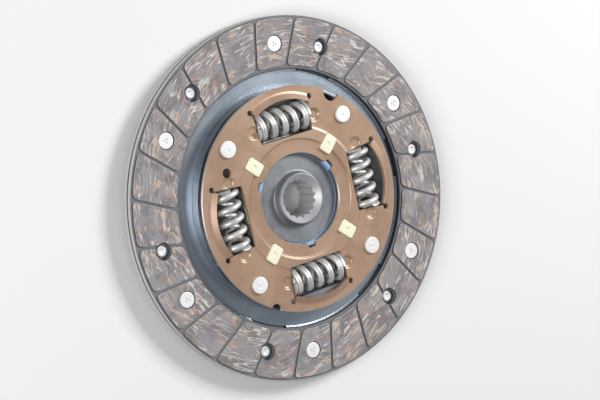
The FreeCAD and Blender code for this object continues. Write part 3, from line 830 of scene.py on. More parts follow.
@dataclass(frozen=True)
class LiningFinish:
    """Moulded friction lining: a grey bond with bundles of pale and brown strands, painted shade in its
    grooves.

    It reads the facing's own map, whose first direction runs round the disc and second outwards.
    Height from the disc's middle and distance from the axis tell a groove from a pad. The spans
    give the distance where a tone starts to show and the one where it is full.
    """

    name: str = "friction_lining"
    map_name: str = "round_and_out"
    bond_dark: Colour = (0.195, 0.180, 0.186)
    bond_light: Colour = (0.298, 0.278, 0.280)
    bluish: Colour = (0.26, 0.29, 0.335)
    brown: Colour = (0.40, 0.285, 0.235)
    tan: Colour = (0.66, 0.50, 0.38)
    pale: Colour = (0.80, 0.74, 0.68)
    rust: Colour = (0.56, 0.25, 0.19)
    # painted shade: groove floors darkened as if the narrow grooves lay in shadow
    groove: Colour = (0.17, 0.17, 0.175)
    # painted shade on the pads' walls and on the facing's inner rim
    wall: Colour = (0.045, 0.045, 0.05)
    # pale tone on pad edges and outer rim: partly dust, partly painted highlight
    dust_and_highlight: Colour = (0.70, 0.69, 0.68)
    patch_scale: float = 95.0
    cloud_scale: float = 150.0
    cloud_share: float = 0.6
    grain_scale: float = 2600.0
    grain_tone: float = 0.15
    grain_height: float = 0.6
    relief_depth: float = 0.3
    roughness: float = 0.7
    strand_roughness: float = -0.05
    middle: float = 7.0
    groove_floor: Span = (3.7, 3.35)
    wall_foot: Span = (3.25, 3.32)
    wall_top: Span = (3.86, 3.76)
    pad_edge: Span = (3.98, 3.9)
    inner_rim: Span = (71.2, 71.08)
    outer_rim: Span = (99.7, 99.85)
    # how much of the dust and painted highlight shows on the pads' edges and on the outer rim
    edge_dust_and_highlight: float = 0.45
    rim_dust_and_highlight: float = 0.65

    def layers(self) -> list[StrandLayer]:
        """The layers of strands, the lowest first."""
        spot, line = Strand.SPOT, Strand.LINE
        return [
            StrandLayer(spot, self.brown, 0.4, 0.30, 75.0, 640.0, 105.0, 0.48, 0.53, 0.05, 3.7),
            StrandLayer(line, self.tan, 0.65, 0.35, 42.0, 330.0, 105.0, 0.51, 0.50, 0.036, 11.3),
            StrandLayer(line, self.tan, 0.6, -0.30, 46.0, 350.0, 115.0, 0.48, 0.47, 0.036, 23.9),
            StrandLayer(line, self.pale, 0.62, 0.12, 38.0, 300.0, 95.0, 0.51, 0.52, 0.03, 41.1),
            StrandLayer(line, self.rust, 0.5, -0.15, 50.0, 380.0, 130.0, 0.42, 0.50, 0.045, 57.3),
            StrandLayer(spot, self.pale, 0.7, 0.20, 62.0, 900.0, 140.0, 0.46, 0.61, 0.05, 66.1),
        ]

    def bond(self, g: Graph, effects: Effects, chart: bpy.types.NodeSocket) -> bpy.types.NodeSocket:
        """The colour below the strands, with soft patches and bluish clouds.

        Args:
            g: The material's graph.
            effects: The shared groups.
            chart: The facing's own map.

        Returns:
            The colour.
        """
        patches = effects.place(g, effects.mottle, Vector=chart, Scale=self.patch_scale)
        tone = g.mix(g.ramp(patches.outputs["Value"], low=0.4, high=0.6), self.bond_dark, self.bond_light)
        cloud = g.ramp(g.noise(chart, self.cloud_scale), low=0.52, high=0.68, reach=self.cloud_share)
        return g.mix(cloud, tone, self.bluish)

    def painted_light_and_dust(self, g: Graph, place: bpy.types.NodeSocket, tone: bpy.types.NodeSocket) -> bpy.types.NodeSocket:
        """Lays dust and painted highlight on the pads' edges and outer rim, and painted shade on grooves,
        walls and inner rim.

        Args:
            g: The material's graph.
            place: The piece's own coordinates.
            tone: The colour of the pads.

        Returns:
            The colour of the whole facing.
        """
        height = g.node("SeparateXYZ", {0: place}).outputs[2]
        reach = g.math("ABSOLUTE", g.math("SUBTRACT", height, self.middle * MM))
        radius = g.radius(place)
        on_wall = g.math("MULTIPLY", g.fade(reach, self.wall_foot), g.fade(reach, self.wall_top))
        # Dust and painted highlight on the pads' edges.
        tone = g.mix(g.math("MULTIPLY", g.fade(reach, self.pad_edge), self.edge_dust_and_highlight), tone, self.dust_and_highlight)
        # Painted shade on the groove floors, the pads' walls and the inner rim.
        tone = g.mix(g.fade(reach, self.groove_floor), tone, self.groove)
        tone = g.mix(on_wall, tone, self.wall)
        tone = g.mix(g.fade(radius, self.inner_rim), tone, self.wall)
        # Dust and painted highlight on the outer rim.
        return g.mix(g.math("MULTIPLY", g.fade(radius, self.outer_rim), self.rim_dust_and_highlight), tone, self.dust_and_highlight)

    def build(self, effects: Effects) -> bpy.types.Material:
        """Makes the material.

        Args:
            effects: The shared groups.

        Returns:
            The material.
        """
        material, g, shader, place = new_material(self.name)
        chart = g.node("UVMap", uv_map=self.map_name).outputs[0]
        tone = self.bond(g, effects, chart)
        relief = None
        for layer in self.layers():
            strands = layer.place(g, effects, chart)
            tone = g.mix(g.math("MULTIPLY", strands, layer.strength), tone, layer.colour)
            relief = strands if relief is None else g.math("ADD", relief, strands)
        tooth = effects.place(g, effects.grain, Vector=place, Scale=self.grain_scale)
        tone = g.mix(g.math("MULTIPLY", tooth.outputs["Value"], self.grain_tone), tone, self.bond_dark)
        g.feed(shader.inputs["Base Color"], self.painted_light_and_dust(g, place, tone))
        rough = g.math("MULTIPLY_ADD", relief, self.strand_roughness, self.roughness)
        g.feed(shader.inputs["Roughness"], rough)
        fine = g.math("MULTIPLY", tooth.outputs["Height"], self.grain_height)
        g.bump(shader, g.math("ADD", relief, fine), self.relief_depth)
        return material


METALS = (
    MetalFinish(
        name="spring_steel_sheet",
        light=(0.57, 0.65, 0.74),
        dark=(0.48, 0.56, 0.65),
        metallic=0.88,
        smoothest=0.24,
        roughest=0.32,
        patch_scale=18.0,
        grain_scale=2600.0,
        grain_depth=0.08,
        turned=True,
    ),
    MetalFinish(
        name="cover_coating",
        light=(0.50, 0.33, 0.225),
        dark=(0.43, 0.27, 0.175),
        metallic=0.35,
        smoothest=0.3,
        roughest=0.38,
        patch_scale=45.0,
        coat=0.6,
        coat_roughness=0.42,
        zones=((61.35, 61.5), (25.05, 24.95)),
        zone_tone=(0.42, 0.42, 0.43),
    ),
    MetalFinish(
        name="pressed_steel",
        light=(0.40, 0.43, 0.47),
        dark=(0.26, 0.28, 0.31),
        metallic=0.9,
        smoothest=0.3,
        roughest=0.42,
        patch_scale=35.0,
    ),
    MetalFinish(
        name="bright_zinc",
        light=(0.90, 0.90, 0.895),
        dark=(0.84, 0.84, 0.835),
        metallic=0.15,
        smoothest=0.35,
        roughest=0.42,
        patch_scale=90.0,
        grain_depth=0.02,
    ),
    MetalFinish(
        name="forged_steel",
        light=(0.29, 0.30, 0.32),
        dark=(0.22, 0.23, 0.245),
        metallic=0.6,
        smoothest=0.42,
        roughest=0.58,
        patch_scale=70.0,
        turned=True,
        # painted light: within 13.4 mm of the axis the bore and its lead-in are lighter and less metallic, as
        # if a lamp lit the bore's wall
        zones=((13.4, 13.1),),
        zone_tone=(0.54, 0.54, 0.55),
        zone_metallic=0.48,
    ),
    MetalFinish(
        name="coil_steel",
        light=(0.80, 0.80, 0.79),
        dark=(0.64, 0.64, 0.63),
        metallic=0.5,
        smoothest=0.34,
        roughest=0.46,
        patch_scale=160.0,
        grain_depth=0.05,
    ),
    MetalFinish(
        name="washer_steel",
        light=(0.52, 0.53, 0.54),
        dark=(0.36, 0.37, 0.38),
        metallic=0.95,
        smoothest=0.28,
        roughest=0.4,
        patch_scale=80.0,
    ),
)

PLASTICS = (
    PlasticFinish("cream_plastic", light=(0.90, 0.89, 0.70), dark=(0.84, 0.83, 0.63)),
    PlasticFinish("blue_plastic", light=(0.32, 0.47, 0.70), dark=(0.24, 0.37, 0.60)),
    PlasticFinish("dark_plastic", light=(0.05, 0.05, 0.055), dark=(0.03, 0.03, 0.034)),
)


# The pieces


@dataclass
class FrictionFacing:
    """A friction facing with raised pads between slanted grooves, lying back down on z = 0.

    The pad's edge is given by rows of how far in and how far below the top each one lies.
    """

    outer_r: float = 99.98
    inner_r: float = 71.0
    thickness: float = 3.2
    rim_ease: float = 0.3
    groove_depth: float = 0.8
    groove_width: float = 1.3
    groove_offset: float = 20.0
    groove_phase: float = 1.5
    pads: int = 24
    pad_root: float = 0.2
    pad_edge: tuple[Span, ...] = ((0.08, 0.3), (0.2, 0.12), (0.42, 0.03), (0.7, 0.0))
    land: float = 1.3
    corner: float = 3.3
    arc_shares: tuple[float, ...] = (0.0, 0.4, 0.5, 0.6, 1.0)
    seat_r: float = 4.8
    seat_circle_r: float = 84.8
    front_seat: float = 23.4
    rear_seat: float = 3.3
    rivets: int = 6
    web: float = 1.2
    head_r: float = 4.4
    head_t: float = 1.7
    shank_r: float = 2.4
    tail_r: float = 3.0
    hollow_r: float = 1.5
    hollow_floor_r: float = 1.2
    hollow_depth: float = 0.7
    marks: int = 3
    mark_r: float = 0.5
    mark_reach: float = 1.0
    mark_depth: float = 0.9
    mark_phase: float = 20.0
    pattern_shift: Span = (0.0731, 0.0417)
    past: float = 1.0

    @property
    def middle_r(self) -> float:
        """The radius halfway across the facing."""
        return (self.outer_r + self.inner_r) / 2

    @property
    def rear_twist(self) -> float:
        """The rear facing's turn, by which its seats meet the front one's clear holes."""
        return -self.front_seat - self.rear_seat

    def groove_points(self, angle: float, shift: float, radii: np.ndarray) -> np.ndarray:
        """Where a groove's straight line crosses circles.

        The line passes the axis at the groove offset, so a point at radius R lies sqrt(R^2 - q^2)
        along it, with q the offset plus the shift.

        Args:
            angle: Where the groove's line crosses the middle radius.
            shift: How far sideways the line is moved.
            radii: The circles' radii.

        Returns:
            Array of points by two.
        """
        heading = math.radians(angle) - math.asin(self.groove_offset / self.middle_r)
        q = self.groove_offset + shift
        along = np.sqrt(np.asarray(radii, float) ** 2 - q**2)
        x = along * math.cos(heading) - q * math.sin(heading)
        y = along * math.sin(heading) + q * math.cos(heading)
        return np.column_stack([x, y])

    def pad_outline(self) -> np.ndarray:
        """The outline of one pad: two straight sides, two arcs and eased corners.

        Returns:
            Array of points by two, anticlockwise.
        """
        inner, outer = self.inner_r + self.land, self.outer_r - self.land
        half = self.groove_width / 2
        ends = np.array([inner, outer])
        first = self.groove_points(self.groove_phase, half, ends)
        last = self.groove_points(self.groove_phase + 360.0 / self.pads, -half, ends)
        angles = [math.degrees(math.atan2(p[1], p[0])) for p in (first[0], first[1], last[1], last[0])]
        outer_arc = [polar(outer, angles[1] + t * (angles[2] - angles[1])) for t in self.arc_shares]
        inner_arc = [polar(inner, angles[3] + t * (angles[0] - angles[3])) for t in self.arc_shares]
        last_share = len(self.arc_shares) - 1
        ease = np.zeros(2 * len(self.arc_shares))
        ease[[0, last_share, last_share + 1, -1]] = self.corner
        return rounded(np.column_stack([np.array([*outer_arc, *inner_arc]), ease]), steps=7)

    def pad(self) -> Shell:
        """One pad: its outline carried up a drafted wall and over a soft edge.

        Returns:
            The pad, reaching a little into the ring below.
        """
        top = self.thickness
        floor = top - self.groove_depth
        rows = edged(self.pad_outline(), (floor - self.pad_root, floor), top, self.pad_edge)
        return grid_shell(rows, close_rows=False)

    def body(self) -> Shell:
        """The ring below the pads, its rims eased."""
        floor = self.thickness - self.groove_depth
        return revolved(rounded(oblong((self.inner_r, 0), (self.outer_r, floor), self.rim_ease)), columns=240)

    def cutters(self) -> list[Shell]:
        """The counterbores over the facing's own rivets and the clear holes over the other's.

        Returns:
            The cutters.
        """
        top = self.thickness + self.past
        made = []
        for k in range(self.rivets):
            step = 360.0 * k / self.rivets
            seat = polar(self.seat_circle_r, self.front_seat + step)
            clear = polar(self.seat_circle_r, self.rear_seat + step)
            made.append(prism(disc_outline(self.seat_r, seat), self.web, top))
            made.append(prism(disc_outline(self.seat_r, clear), -self.past, top))
        return made

    def laid(self, shell: Shell, side: Facing, back: float) -> Shell:
        """A shell of the facing in its place.

        Args:
            shell: The shell, with the facing's back on z = 0.
            side: The front or the rear facing.
            back: The height of the face that lies on the cushion disc.

        Returns:
            The placed shell.
        """
        if side is Facing.REAR:
            return shell.turned(self.rear_twist).flipped(back)
        return shell.moved((0, 0, back))

    def meshes(self, side: Facing, back: float) -> list[bpy.types.Mesh]:
        """The meshes of the facing.

        Args:
            side: The front or the rear facing.
            back: The height of the face that lies on the cushion disc.

        Returns:
            The body and the pads, with the rivet holes cut.
        """
        pads = joined(ring_of(self.pad(), self.pads))
        tools = [self.laid(cutter, side, back) for cutter in self.cutters()]
        made = []
        for shell, label in ((self.body(), "body"), (pads, "pads")):
            mesh = carved(f"facing_{label}", self.laid(shell, side, back), [tools])
            self.chart(mesh, side)
            made.append(mesh)
        return made

    def slant(self, radius: np.ndarray) -> np.ndarray:
        """How far the grooves' lines have turned at a radius, in degrees: asin(q / r)."""
        return np.degrees(np.arcsin(self.groove_offset / np.maximum(radius, self.inner_r - 1)))

    def lean(self, place: np.ndarray, twist: float) -> tuple[np.ndarray, np.ndarray]:
        """The distance from the axis, and the angle measured along the slanted grooves.

        Args:
            place: Array of points by two.
            twist: Angle that the facing was turned by.

        Returns:
            The distances, and the angles in degrees from the first groove.
        """
        radius = np.hypot(place[:, 0], place[:, 1])
        angle = np.degrees(np.arctan2(place[:, 1], place[:, 0])) - self.slant(radius)
        return radius, angle + self.slant(np.array(self.middle_r)) - self.groove_phase - twist

    def chart(self, mesh: bpy.types.Mesh, side: Facing) -> None:
        """Lays a map on the facing, in metres: the way round the disc, and the distance from the axis.

        The way round is the middle radius times the angle, counted from the pad that a face lies on.
        A pad's number is the whole part of (a - phase - asin(q / r) + asin(q / m)) / pitch, with q the
        grooves' offset and m the middle radius. Each pad reads a part of the pattern of its own.

        Args:
            mesh: The carved mesh.
            side: The front or the rear facing.
        """
        sizes = np.zeros(len(mesh.polygons), np.int32)
        mesh.polygons.foreach_get("loop_total", sizes)
        centres = np.zeros(len(mesh.polygons) * 3)
        mesh.polygons.foreach_get("center", centres)
        corner = np.zeros(len(mesh.loops), np.int32)
        mesh.loops.foreach_get("vertex_index", corner)
        points = np.zeros(len(mesh.vertices) * 3)
        mesh.vertices.foreach_get("co", points)
        twist = self.rear_twist if side is Facing.REAR else 0.0
        pitch = 360.0 / self.pads
        place = points.reshape(-1, 3)[:, :2] / MM * (1, side.value)
        face = centres.reshape(-1, 3)[:, :2] / MM * (1, side.value)
        pad = np.repeat(np.floor(self.lean(face, twist)[1] / pitch), sizes)
        radius, along = self.lean(place[corner], twist)
        local = (along - (pad + 0.5) * pitch + 180) % 360 - 180
        arc = np.radians(local + self.slant(radius)) * self.middle_r * MM
        chart = np.column_stack([arc, radius * MM]) + pad[:, None] * np.array(self.pattern_shift)
        layer = mesh.uv_layers.new(name=LiningFinish.map_name)
        layer.data.foreach_set("uv", chart.ravel())

    def rivet(self) -> Shell:
        """A flat-headed rivet, its head's seat at the web's height and its tail's on the sheet's far side.

        Returns:
            The rivet on the seats' circle.
        """
        top = self.web + self.head_t
        foot = -CushionDisc.thickness
        tail = foot - self.head_t
        # Radius, height and easing of each corner
        section = [
            (0.0, top, 0),
            (self.head_r, top, 0.5),
            (self.head_r, self.web, 0.1),
            (self.shank_r, self.web, 0.1),
            (self.shank_r, foot, 0.1),
            (self.tail_r, foot, 0.2),
            (self.tail_r, tail, 0.8),
            (self.hollow_r, tail, 0.3),
            (self.hollow_floor_r, tail + self.hollow_depth - 0.1, 0.3),
            (0.0, tail + self.hollow_depth, 0),
        ]
        return lathed(rounded(section, closed=False)).moved((self.seat_circle_r, 0, 0))

    def rivet_set(self, side: Facing, back: float) -> bpy.types.Mesh:
        """The rivets of one facing, each with small marks in the middle of its head.

        Args:
            side: The front or the rear facing.
            back: The height of the facing's back.

        Returns:
            The rivets in their places.
        """
        rivets = joined(ring_of(self.rivet(), self.rivets, self.front_seat))
        top = self.web + self.head_t
        dot = disc_outline(self.mark_r, (self.mark_reach, 0), count=12)
        dots = ring_of(prism(dot, top - self.mark_depth, top + self.past / 2), self.marks, self.mark_phase)
        cluster = joined(dots).moved((self.seat_circle_r, 0, 0))
        mesh = carved("rivet_set", rivets, [ring_of(cluster, self.rivets, self.front_seat)])
        if side is Facing.REAR:
            turn = Matrix.Rotation(math.radians(self.rear_twist), 4, "Z")
            mesh.transform(Matrix.Rotation(math.pi, 4, "X") @ turn)
        mesh.transform(Matrix.Translation((0, 0, back * MM)))
        return mesh

    def dress(self, effects: Effects, zinc: bpy.types.Material) -> None:
        """Builds both facings and their rivets.

        Args:
            effects: The shared groups.
            zinc: The rivets' finish.
        """
        lining = LiningFinish().build(effects)
        for side, label in ((Facing.FRONT, "front"), (Facing.REAR, "rear")):
            low, high = node_range(f"{label}_facing")
            back = low if side is Facing.FRONT else high
            meshes = self.meshes(side, back)
            put(f"{label}_lining", meshes, "disc", [f"{label}_facing"], lining)
            rivets = self.rivet_set(side, back)
            put(f"{label}_rivet_set", [rivets], "disc", [f"{label}_facing_rivets"], zinc)


@dataclass
class CushionDisc:
    """The thin spring disc between the facings, its paddles stepped up and down."""

    thickness: float = 0.8
    step: float = 0.4
    lobe_r: float = 47.0
    bay_r: float = 60.0
    bay_half: float = 23.5
    flat_rows: Span = (58.0, 66.0)
    step_r: float = 69.9
    step_run: float = 0.8
    paddle_row: float = 85.0
    outer_r: float = 97.0
    pairs: int = 6
    rear_centre: float = 3.3
    rear_half: float = 8.0
    slit: float = 1.0
    spacing: float = 2.0
    past: float = 2.0
    cut: Span = (0.0, 20.0)

    def rise(self, radius: np.ndarray, angle: np.ndarray) -> np.ndarray:
        """How far the sheet stands off its middle: up on the front paddles, down on the rear ones.

        Args:
            radius: Distances from the axis.
            angle: Angles in degrees.

        Returns:
            The heights, by row and column.
        """
        pitch = 360.0 / self.pairs
        off = np.abs((angle - self.rear_centre + pitch / 2) % pitch - pitch / 2)
        sign = np.interp(off, [self.rear_half, self.rear_half + self.slit], [-1.0, 1.0])
        return self.step * sign * smooth(self.step_r, self.step_r + self.step_run, radius)

    def edges(self, off: Sequence[float]) -> np.ndarray:
        """Angles on both sides of every rear paddle's middle.

        Args:
            off: How far from the middle they lie.

        Returns:
            The angles in one row.
        """
        middles = [self.rear_centre + 360.0 / self.pairs * k for k in range(self.pairs)]
        return np.array([middle + s * a for middle in middles for s in (-1, 1) for a in off])

    def sheet(self, middle: float) -> Shell:
        """The whole sheet as a closed section carried round, lifted by the rise at every point.

        Args:
            middle: The height of its middle.

        Returns:
            The sheet before its bays and slits are cut.
        """
        edges = self.edges([self.rear_half, self.rear_half + self.slit])
        columns = merged_angles(np.arange(0, 360, self.spacing), edges)
        run = np.linspace(self.step_r, self.step_r + self.step_run, 6)
        radii = np.concatenate([[self.lobe_r, *self.flat_rows], run, [self.paddle_row, self.outer_r]])
        half = np.full(len(radii), self.thickness / 2)
        section = np.concatenate([np.column_stack([radii, half]), np.column_stack([radii, -half])[::-1]])
        radius = section[:, :1]
        height = section[:, 1:] + middle + self.rise(radius, columns)
        return grid_shell(round_axis(radius, columns, height))

    def dress(self, material: bpy.types.Material) -> None:
        """Builds the disc, its bays and its slits cut out.

        Args:
            material: Its finish.
        """
        low, high = node_range("cushion_disc")
        bay = prism(sector_outline(self.lobe_r - self.past, self.bay_r, self.bay_half), *self.cut)
        gap = prism(sector_outline(self.step_r, self.outer_r + self.past, self.slit / 2, count=4), *self.cut)
        slits = [gap.turned(angle) for angle in self.edges([self.rear_half + self.slit / 2])]
        mesh = carved("cushion_sheet", self.sheet((low + high) / 2), [ring_of(bay, WINDOWS), slits])
        put("cushion_sheet", [mesh], "disc", ["cushion_disc"], material)


@dataclass
class SpringWindows:
    """The openings of a side plate over the springs, with their bent lips, relief holes and dents.

    Each lip is bent about a line that curves round the lip's own centre, between spring and axis. The
    dent and lip angles say where the grid has closer columns: start, end and step.
    """

    inner: float = 34.4
    inner_ease: float = 0.8
    half_at_circle: float = 16.85
    contact_r: float = 35.4
    splay: float = 5.0
    shoulder: float = 50.8
    lip_centre: float = 22.0
    lip_bend_r: float = 36.2
    lip_edge_r: float = 32.75
    lip_half: float = 30.99
    lip_slit: float = 1.3
    lip_angle: float = 32.0
    lip_ease: float = 1.8
    lip_reach: float = 5.5
    lip_fade: Span = (2.0, 9.0)
    lip_corner: float = 0.5
    relief_r: float = 1.6
    dent_reach: float = 41.9
    dent_outset: float = 2.4
    dent_r: float = 3.7
    dent_floor_r: float = 2.4
    dent_depth: float = 0.95
    spacing: float = 1.5
    dent_angles: tuple[float, float, float] = (17.75, 21.25, 0.25)
    lip_angles: tuple[float, float, float] = (21.5, 30.5, 0.5)
    rim_r: float = 50.0
    slope_step: float = 0.05
    cut: Span = (-6.0, 9.0)

    def half(self, radial: float) -> float:
        """Half the opening's length at a distance from the axis along its middle line."""
        return self.half_at_circle + (radial - self.contact_r) * math.tan(math.radians(self.splay))

    def columns(self) -> np.ndarray:
        """Angles for a plate's grid, closer at the dents and the lips' ends.

        Returns:
            The angles in one row.
        """
        local = np.concatenate([np.arange(*self.dent_angles), np.arange(*self.lip_angles)])
        marks = [WINDOW_PITCH * k + side * local for k in range(WINDOWS) for side in (-1, 1)]
        return merged_angles(np.arange(0, 360, self.spacing), *marks)

    def rise(self, radius: np.ndarray, angle: np.ndarray) -> np.ndarray:
        """How far the plate stands off its flat: lips up, dents down.

        Inside the bend line a lip rises by the tangent of its angle, and it starts as a parabola.
        A dent is a smooth step down towards a level floor, by the distance from its centre.

        Args:
            radius: Distances from the axis.
            angle: Angles in degrees.

        Returns:
            The heights, by row and column.
        """
        off = np.radians((angle + BETWEEN) % WINDOW_PITCH - BETWEEN)
        x, y = radius * np.cos(off), radius * np.abs(np.sin(off))
        from_centre = np.hypot(x - self.lip_centre, y)
        turn = np.degrees(np.arctan2(y, x - self.lip_centre))
        inside = np.clip(self.lip_bend_r + self.lip_ease / 2 - from_centre, 0, self.lip_reach)
        eased, straight = inside**2 / (2 * self.lip_ease), inside - self.lip_ease / 2
        curve = np.where(inside < self.lip_ease, eased, straight)
        share = np.interp(turn, [self.lip_half, self.lip_half + self.lip_slit], [1.0, 0.0])
        share = share * smooth(self.inner + self.lip_fade[0], self.inner + self.lip_fade[1], x)
        lip = math.tan(math.radians(self.lip_angle)) * curve * share
        away = np.hypot(x - self.dent_reach, y - self.half(self.dent_reach) - self.dent_outset)
        return lip - self.dent_depth * (1 - smooth(self.dent_floor_r, self.dent_r, away))

    def outline(self) -> np.ndarray:
        """The opening's outline: splayed ends, relief holes, and slits along the lip's free edge.

        The relief hole is an arc round the outer end of the slit, from the slit's outer side round
        to its inner side.

        Returns:
            Array of points by two.
        """
        far = self.lip_half + self.lip_slit
        hole = polar(self.lip_bend_r, far) + (self.lip_centre, 0)
        across = self.lip_bend_r * math.sin(math.radians(self.lip_slit))
        reach = math.degrees(math.asin(across / self.relief_r))
        sweep = np.linspace(180 + far, self.lip_half + reach - 180, 20)
        side = [
            (self.inner, self.half(self.inner), self.inner_ease),
            (self.shoulder, self.half(self.shoulder), 0),
            *[(*(hole + polar(self.relief_r, a)), 0) for a in sweep],
        ]
        turn = np.radians(np.linspace(self.lip_half, -self.lip_half, 19))
        free_x = self.lip_centre + self.lip_edge_r * np.cos(turn)
        free = [(x, y, 0) for x, y in zip(free_x, self.lip_edge_r * np.sin(turn))]
        free[0], free[-1] = (*free[0][:2], self.lip_corner), (*free[-1][:2], self.lip_corner)
        other = [(x, -y, ease) for x, y, ease in reversed(side)]
        return rounded([*side, *free, *other])

    def cutters(self) -> list[Shell]:
        """The openings, as cutters."""
        return ring_of(prism(self.outline(), *self.cut), WINDOWS)

    def plate(
        self, section: np.ndarray, upper: np.ndarray, base: Callable[[np.ndarray], np.ndarray]
    ) -> Shell:
        """A plate's closed section carried round and lifted by its form.

        Where the sheet slopes, its lower side drops by the share that keeps the wall's thickness:
        T (sqrt(1 + slope^2) - 1).

        Args:
            section: The section's points, radius and height.
            upper: Which of them lie on the upper side, from 0 to 1.
            base: The pressed form of the flat, as a height by radius.

        Returns:
            The plate before its openings are cut.
        """
        columns = self.columns()
        radius, step = section[:, :1], self.slope_step
        lift = base(radius) + self.rise(radius, columns)
        ahead = base(radius + step) + self.rise(radius + step, columns)
        slope = (ahead - lift) / step
        wall = section[:, 1].max() - section[:, 1][section[:, 0] < self.rim_r].min()
        drop = wall * (np.sqrt(1 + slope**2) - 1) * (1 - upper[:, None])
        return grid_shell(round_axis(radius, columns, section[:, 1:] + lift - drop))


@dataclass
class SidePlates:
    """The pressed cover plate and the dished drive plate on either side of the flange.

    Rows are distances from the axis for the plates' grid, some as start, end and step. The spare hole
    and the rim notches are each a radius, a distance from the axis and an angle.
    """

    windows: SpringWindows = field(default_factory=SpringWindows)
    thickness: float = 1.8
    outer_r: float = 61.8
    opening_r: float = 24.8
    drive_bore_r: float = 17.55
    inner_drop: float = 0.4
    bead_rise: float = 0.4
    bead: tuple[float, float, float, float] = (31.8, 32.9, 38.7, 39.8)
    bead_steps: int = 21
    rim_height: float = 5.9
    rim_wall: float = 1.6
    rim_ease: float = 2.0
    rim_draft: float = 0.05
    edge: float = 0.35
    inner_row: float = 2.0
    drive_row: float = 30.0
    dent_rows: tuple[float, float, float] = (42.0, 51.5, 0.5)
    lip_rows: tuple[float, float, float] = (51.5, 59.3, 0.3)
    last_row: float = 60.3
    spare_hole: tuple[float, float, float] = (2.6, 48.6, 148.2)
    rim_notches: tuple[tuple[float, float, float], ...] = ((4.7, 60.9, 56.7), (3.2, 61.8, 240.3))
    lug_count: int = 3
    lug_phase: float = 30.9
    lug_root: Span = (22.0, 3.7)
    lug_tip: Span = (27.6, 2.2)
    lug_ease: float = 0.5
    peg_centre_r: float = 34.4
    peg_slot: Span = (10.3, 7.7)
    peg_ease: float = 1.2
    cut: Span = (-3.0, 6.0)
    sharp: float = 40.0

    def outer_rows(self) -> np.ndarray:
        """Rows outside the bead, closer where the dents and lips bend the sheet."""
        return np.concatenate([np.arange(*self.dent_rows), np.arange(*self.lip_rows), [self.last_row]])

    def cover_form(self, radius: np.ndarray) -> np.ndarray:
        """The cover's pressed form: a lowered inner zone, a raised bead and the flat.

        Args:
            radius: Distances from the axis.

        Returns:
            The heights.
        """
        up = smooth(self.bead[0], self.bead[1], radius)
        down = smooth(self.bead[2], self.bead[3], radius)
        return -self.inner_drop + (self.inner_drop + self.bead_rise) * up - self.bead_rise * down

    def flat_form(self, radius: np.ndarray) -> np.ndarray:
        """The drive plate's form, which is flat."""
        return 0.0 * radius

    def cover(self) -> bpy.types.Mesh:
        """The cover plate.

        Returns:
            Its mesh, lying on z = 0 with its lips upwards.
        """
        e, t = self.edge, self.thickness
        bead = np.linspace(self.bead[0], self.bead[3], self.bead_steps)
        start = [self.opening_r + e, self.opening_r + self.inner_row]
        rows = np.concatenate([start, bead, self.outer_rows()])
        top = [(r, t) for r in rows]
        outer = [(self.outer_r - e, t), (self.outer_r, t - e), (self.outer_r, e), (self.outer_r - e, 0)]
        bottom = [(r, 0) for r in rows[::-1]]
        inner = [(self.opening_r, e), (self.opening_r, t - e)]
        section = np.array(top + outer + bottom + inner)
        shell = self.windows.plate(section, section[:, 1] / t, self.cover_form)
        return carved("cover", shell, [self.windows.cutters(), self.cover_cutters()])

    def cover_cutters(self) -> list[Shell]:
        """The lug notches, peg slots, spare hole and rim notches.

        Returns:
            The cutters.
        """
        lug = prism(tapered(self.lug_root, self.lug_tip, self.lug_ease), *self.cut)
        length, width = self.peg_slot
        start, end = self.peg_centre_r - length / 2, self.peg_centre_r + length / 2
        slot = prism(rounded(oblong((start, -width / 2), (end, width / 2), self.peg_ease)), *self.cut)
        round_cuts = (self.spare_hole, *self.rim_notches)
        holes = [prism(disc_outline(r, polar(d, a)), *self.cut) for r, d, a in round_cuts]
        return [*ring_of(lug, self.lug_count, self.lug_phase), *ring_of(slot, WINDOWS, BETWEEN), *holes]

    def drive(self) -> bpy.types.Mesh:
        """The drive plate.

        Returns:
            Its mesh, lying on z = 0 with its lips upwards and its rim downwards.
        """
        e, t = self.edge, self.thickness
        rows = np.concatenate([[self.drive_bore_r + e, self.drive_row], self.outer_rows()])
        wall_end = t - self.rim_height
        rim = rounded(
            [
                (rows[-1], t, 0),
                (self.outer_r, t, self.rim_ease),
                (self.outer_r, wall_end, e),
                (self.outer_r - self.rim_wall, wall_end, e),
                (self.outer_r - self.rim_wall - self.rim_draft, 0, 0.3),
                (rows[-1], 0, 0),
            ],
            closed=False,
        )[1:-1]
        top = np.column_stack([rows, np.full(len(rows), t)])
        bottom = np.column_stack([rows[::-1], np.zeros(len(rows))])
        inner = np.array([(self.drive_bore_r, e), (self.drive_bore_r, t - e)])
        section = np.concatenate([top, rim, bottom, inner])
        upper = np.clip(section[:, 1] / t, 0, 1)
        shell = self.windows.plate(section, upper, self.flat_form)
        return carved("drive", shell, [self.windows.cutters()])

    def dress(self, cover_finish: bpy.types.Material, drive_finish: bpy.types.Material) -> None:
        """Builds both plates.

        Args:
            cover_finish: The cover plate's finish.
            drive_finish: The drive plate's finish.
        """
        cover = self.cover()
        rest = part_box("stop_pins")[1].z / MM - StopPins.head_t - self.thickness
        cover.transform(Matrix.Translation((0, 0, rest * MM)))
        put("cover_pressing", [cover], "disc", ["cover_plate"], cover_finish, self.sharp)
        drive = self.drive()
        top = node_range("rear_friction_washer")[0]
        drive.transform(Matrix.Translation((0, 0, top * MM)) @ Matrix.Rotation(math.pi, 4, "X"))
        put("drive_pressing", [drive], "disc", ["drive_plate"], drive_finish, self.sharp)


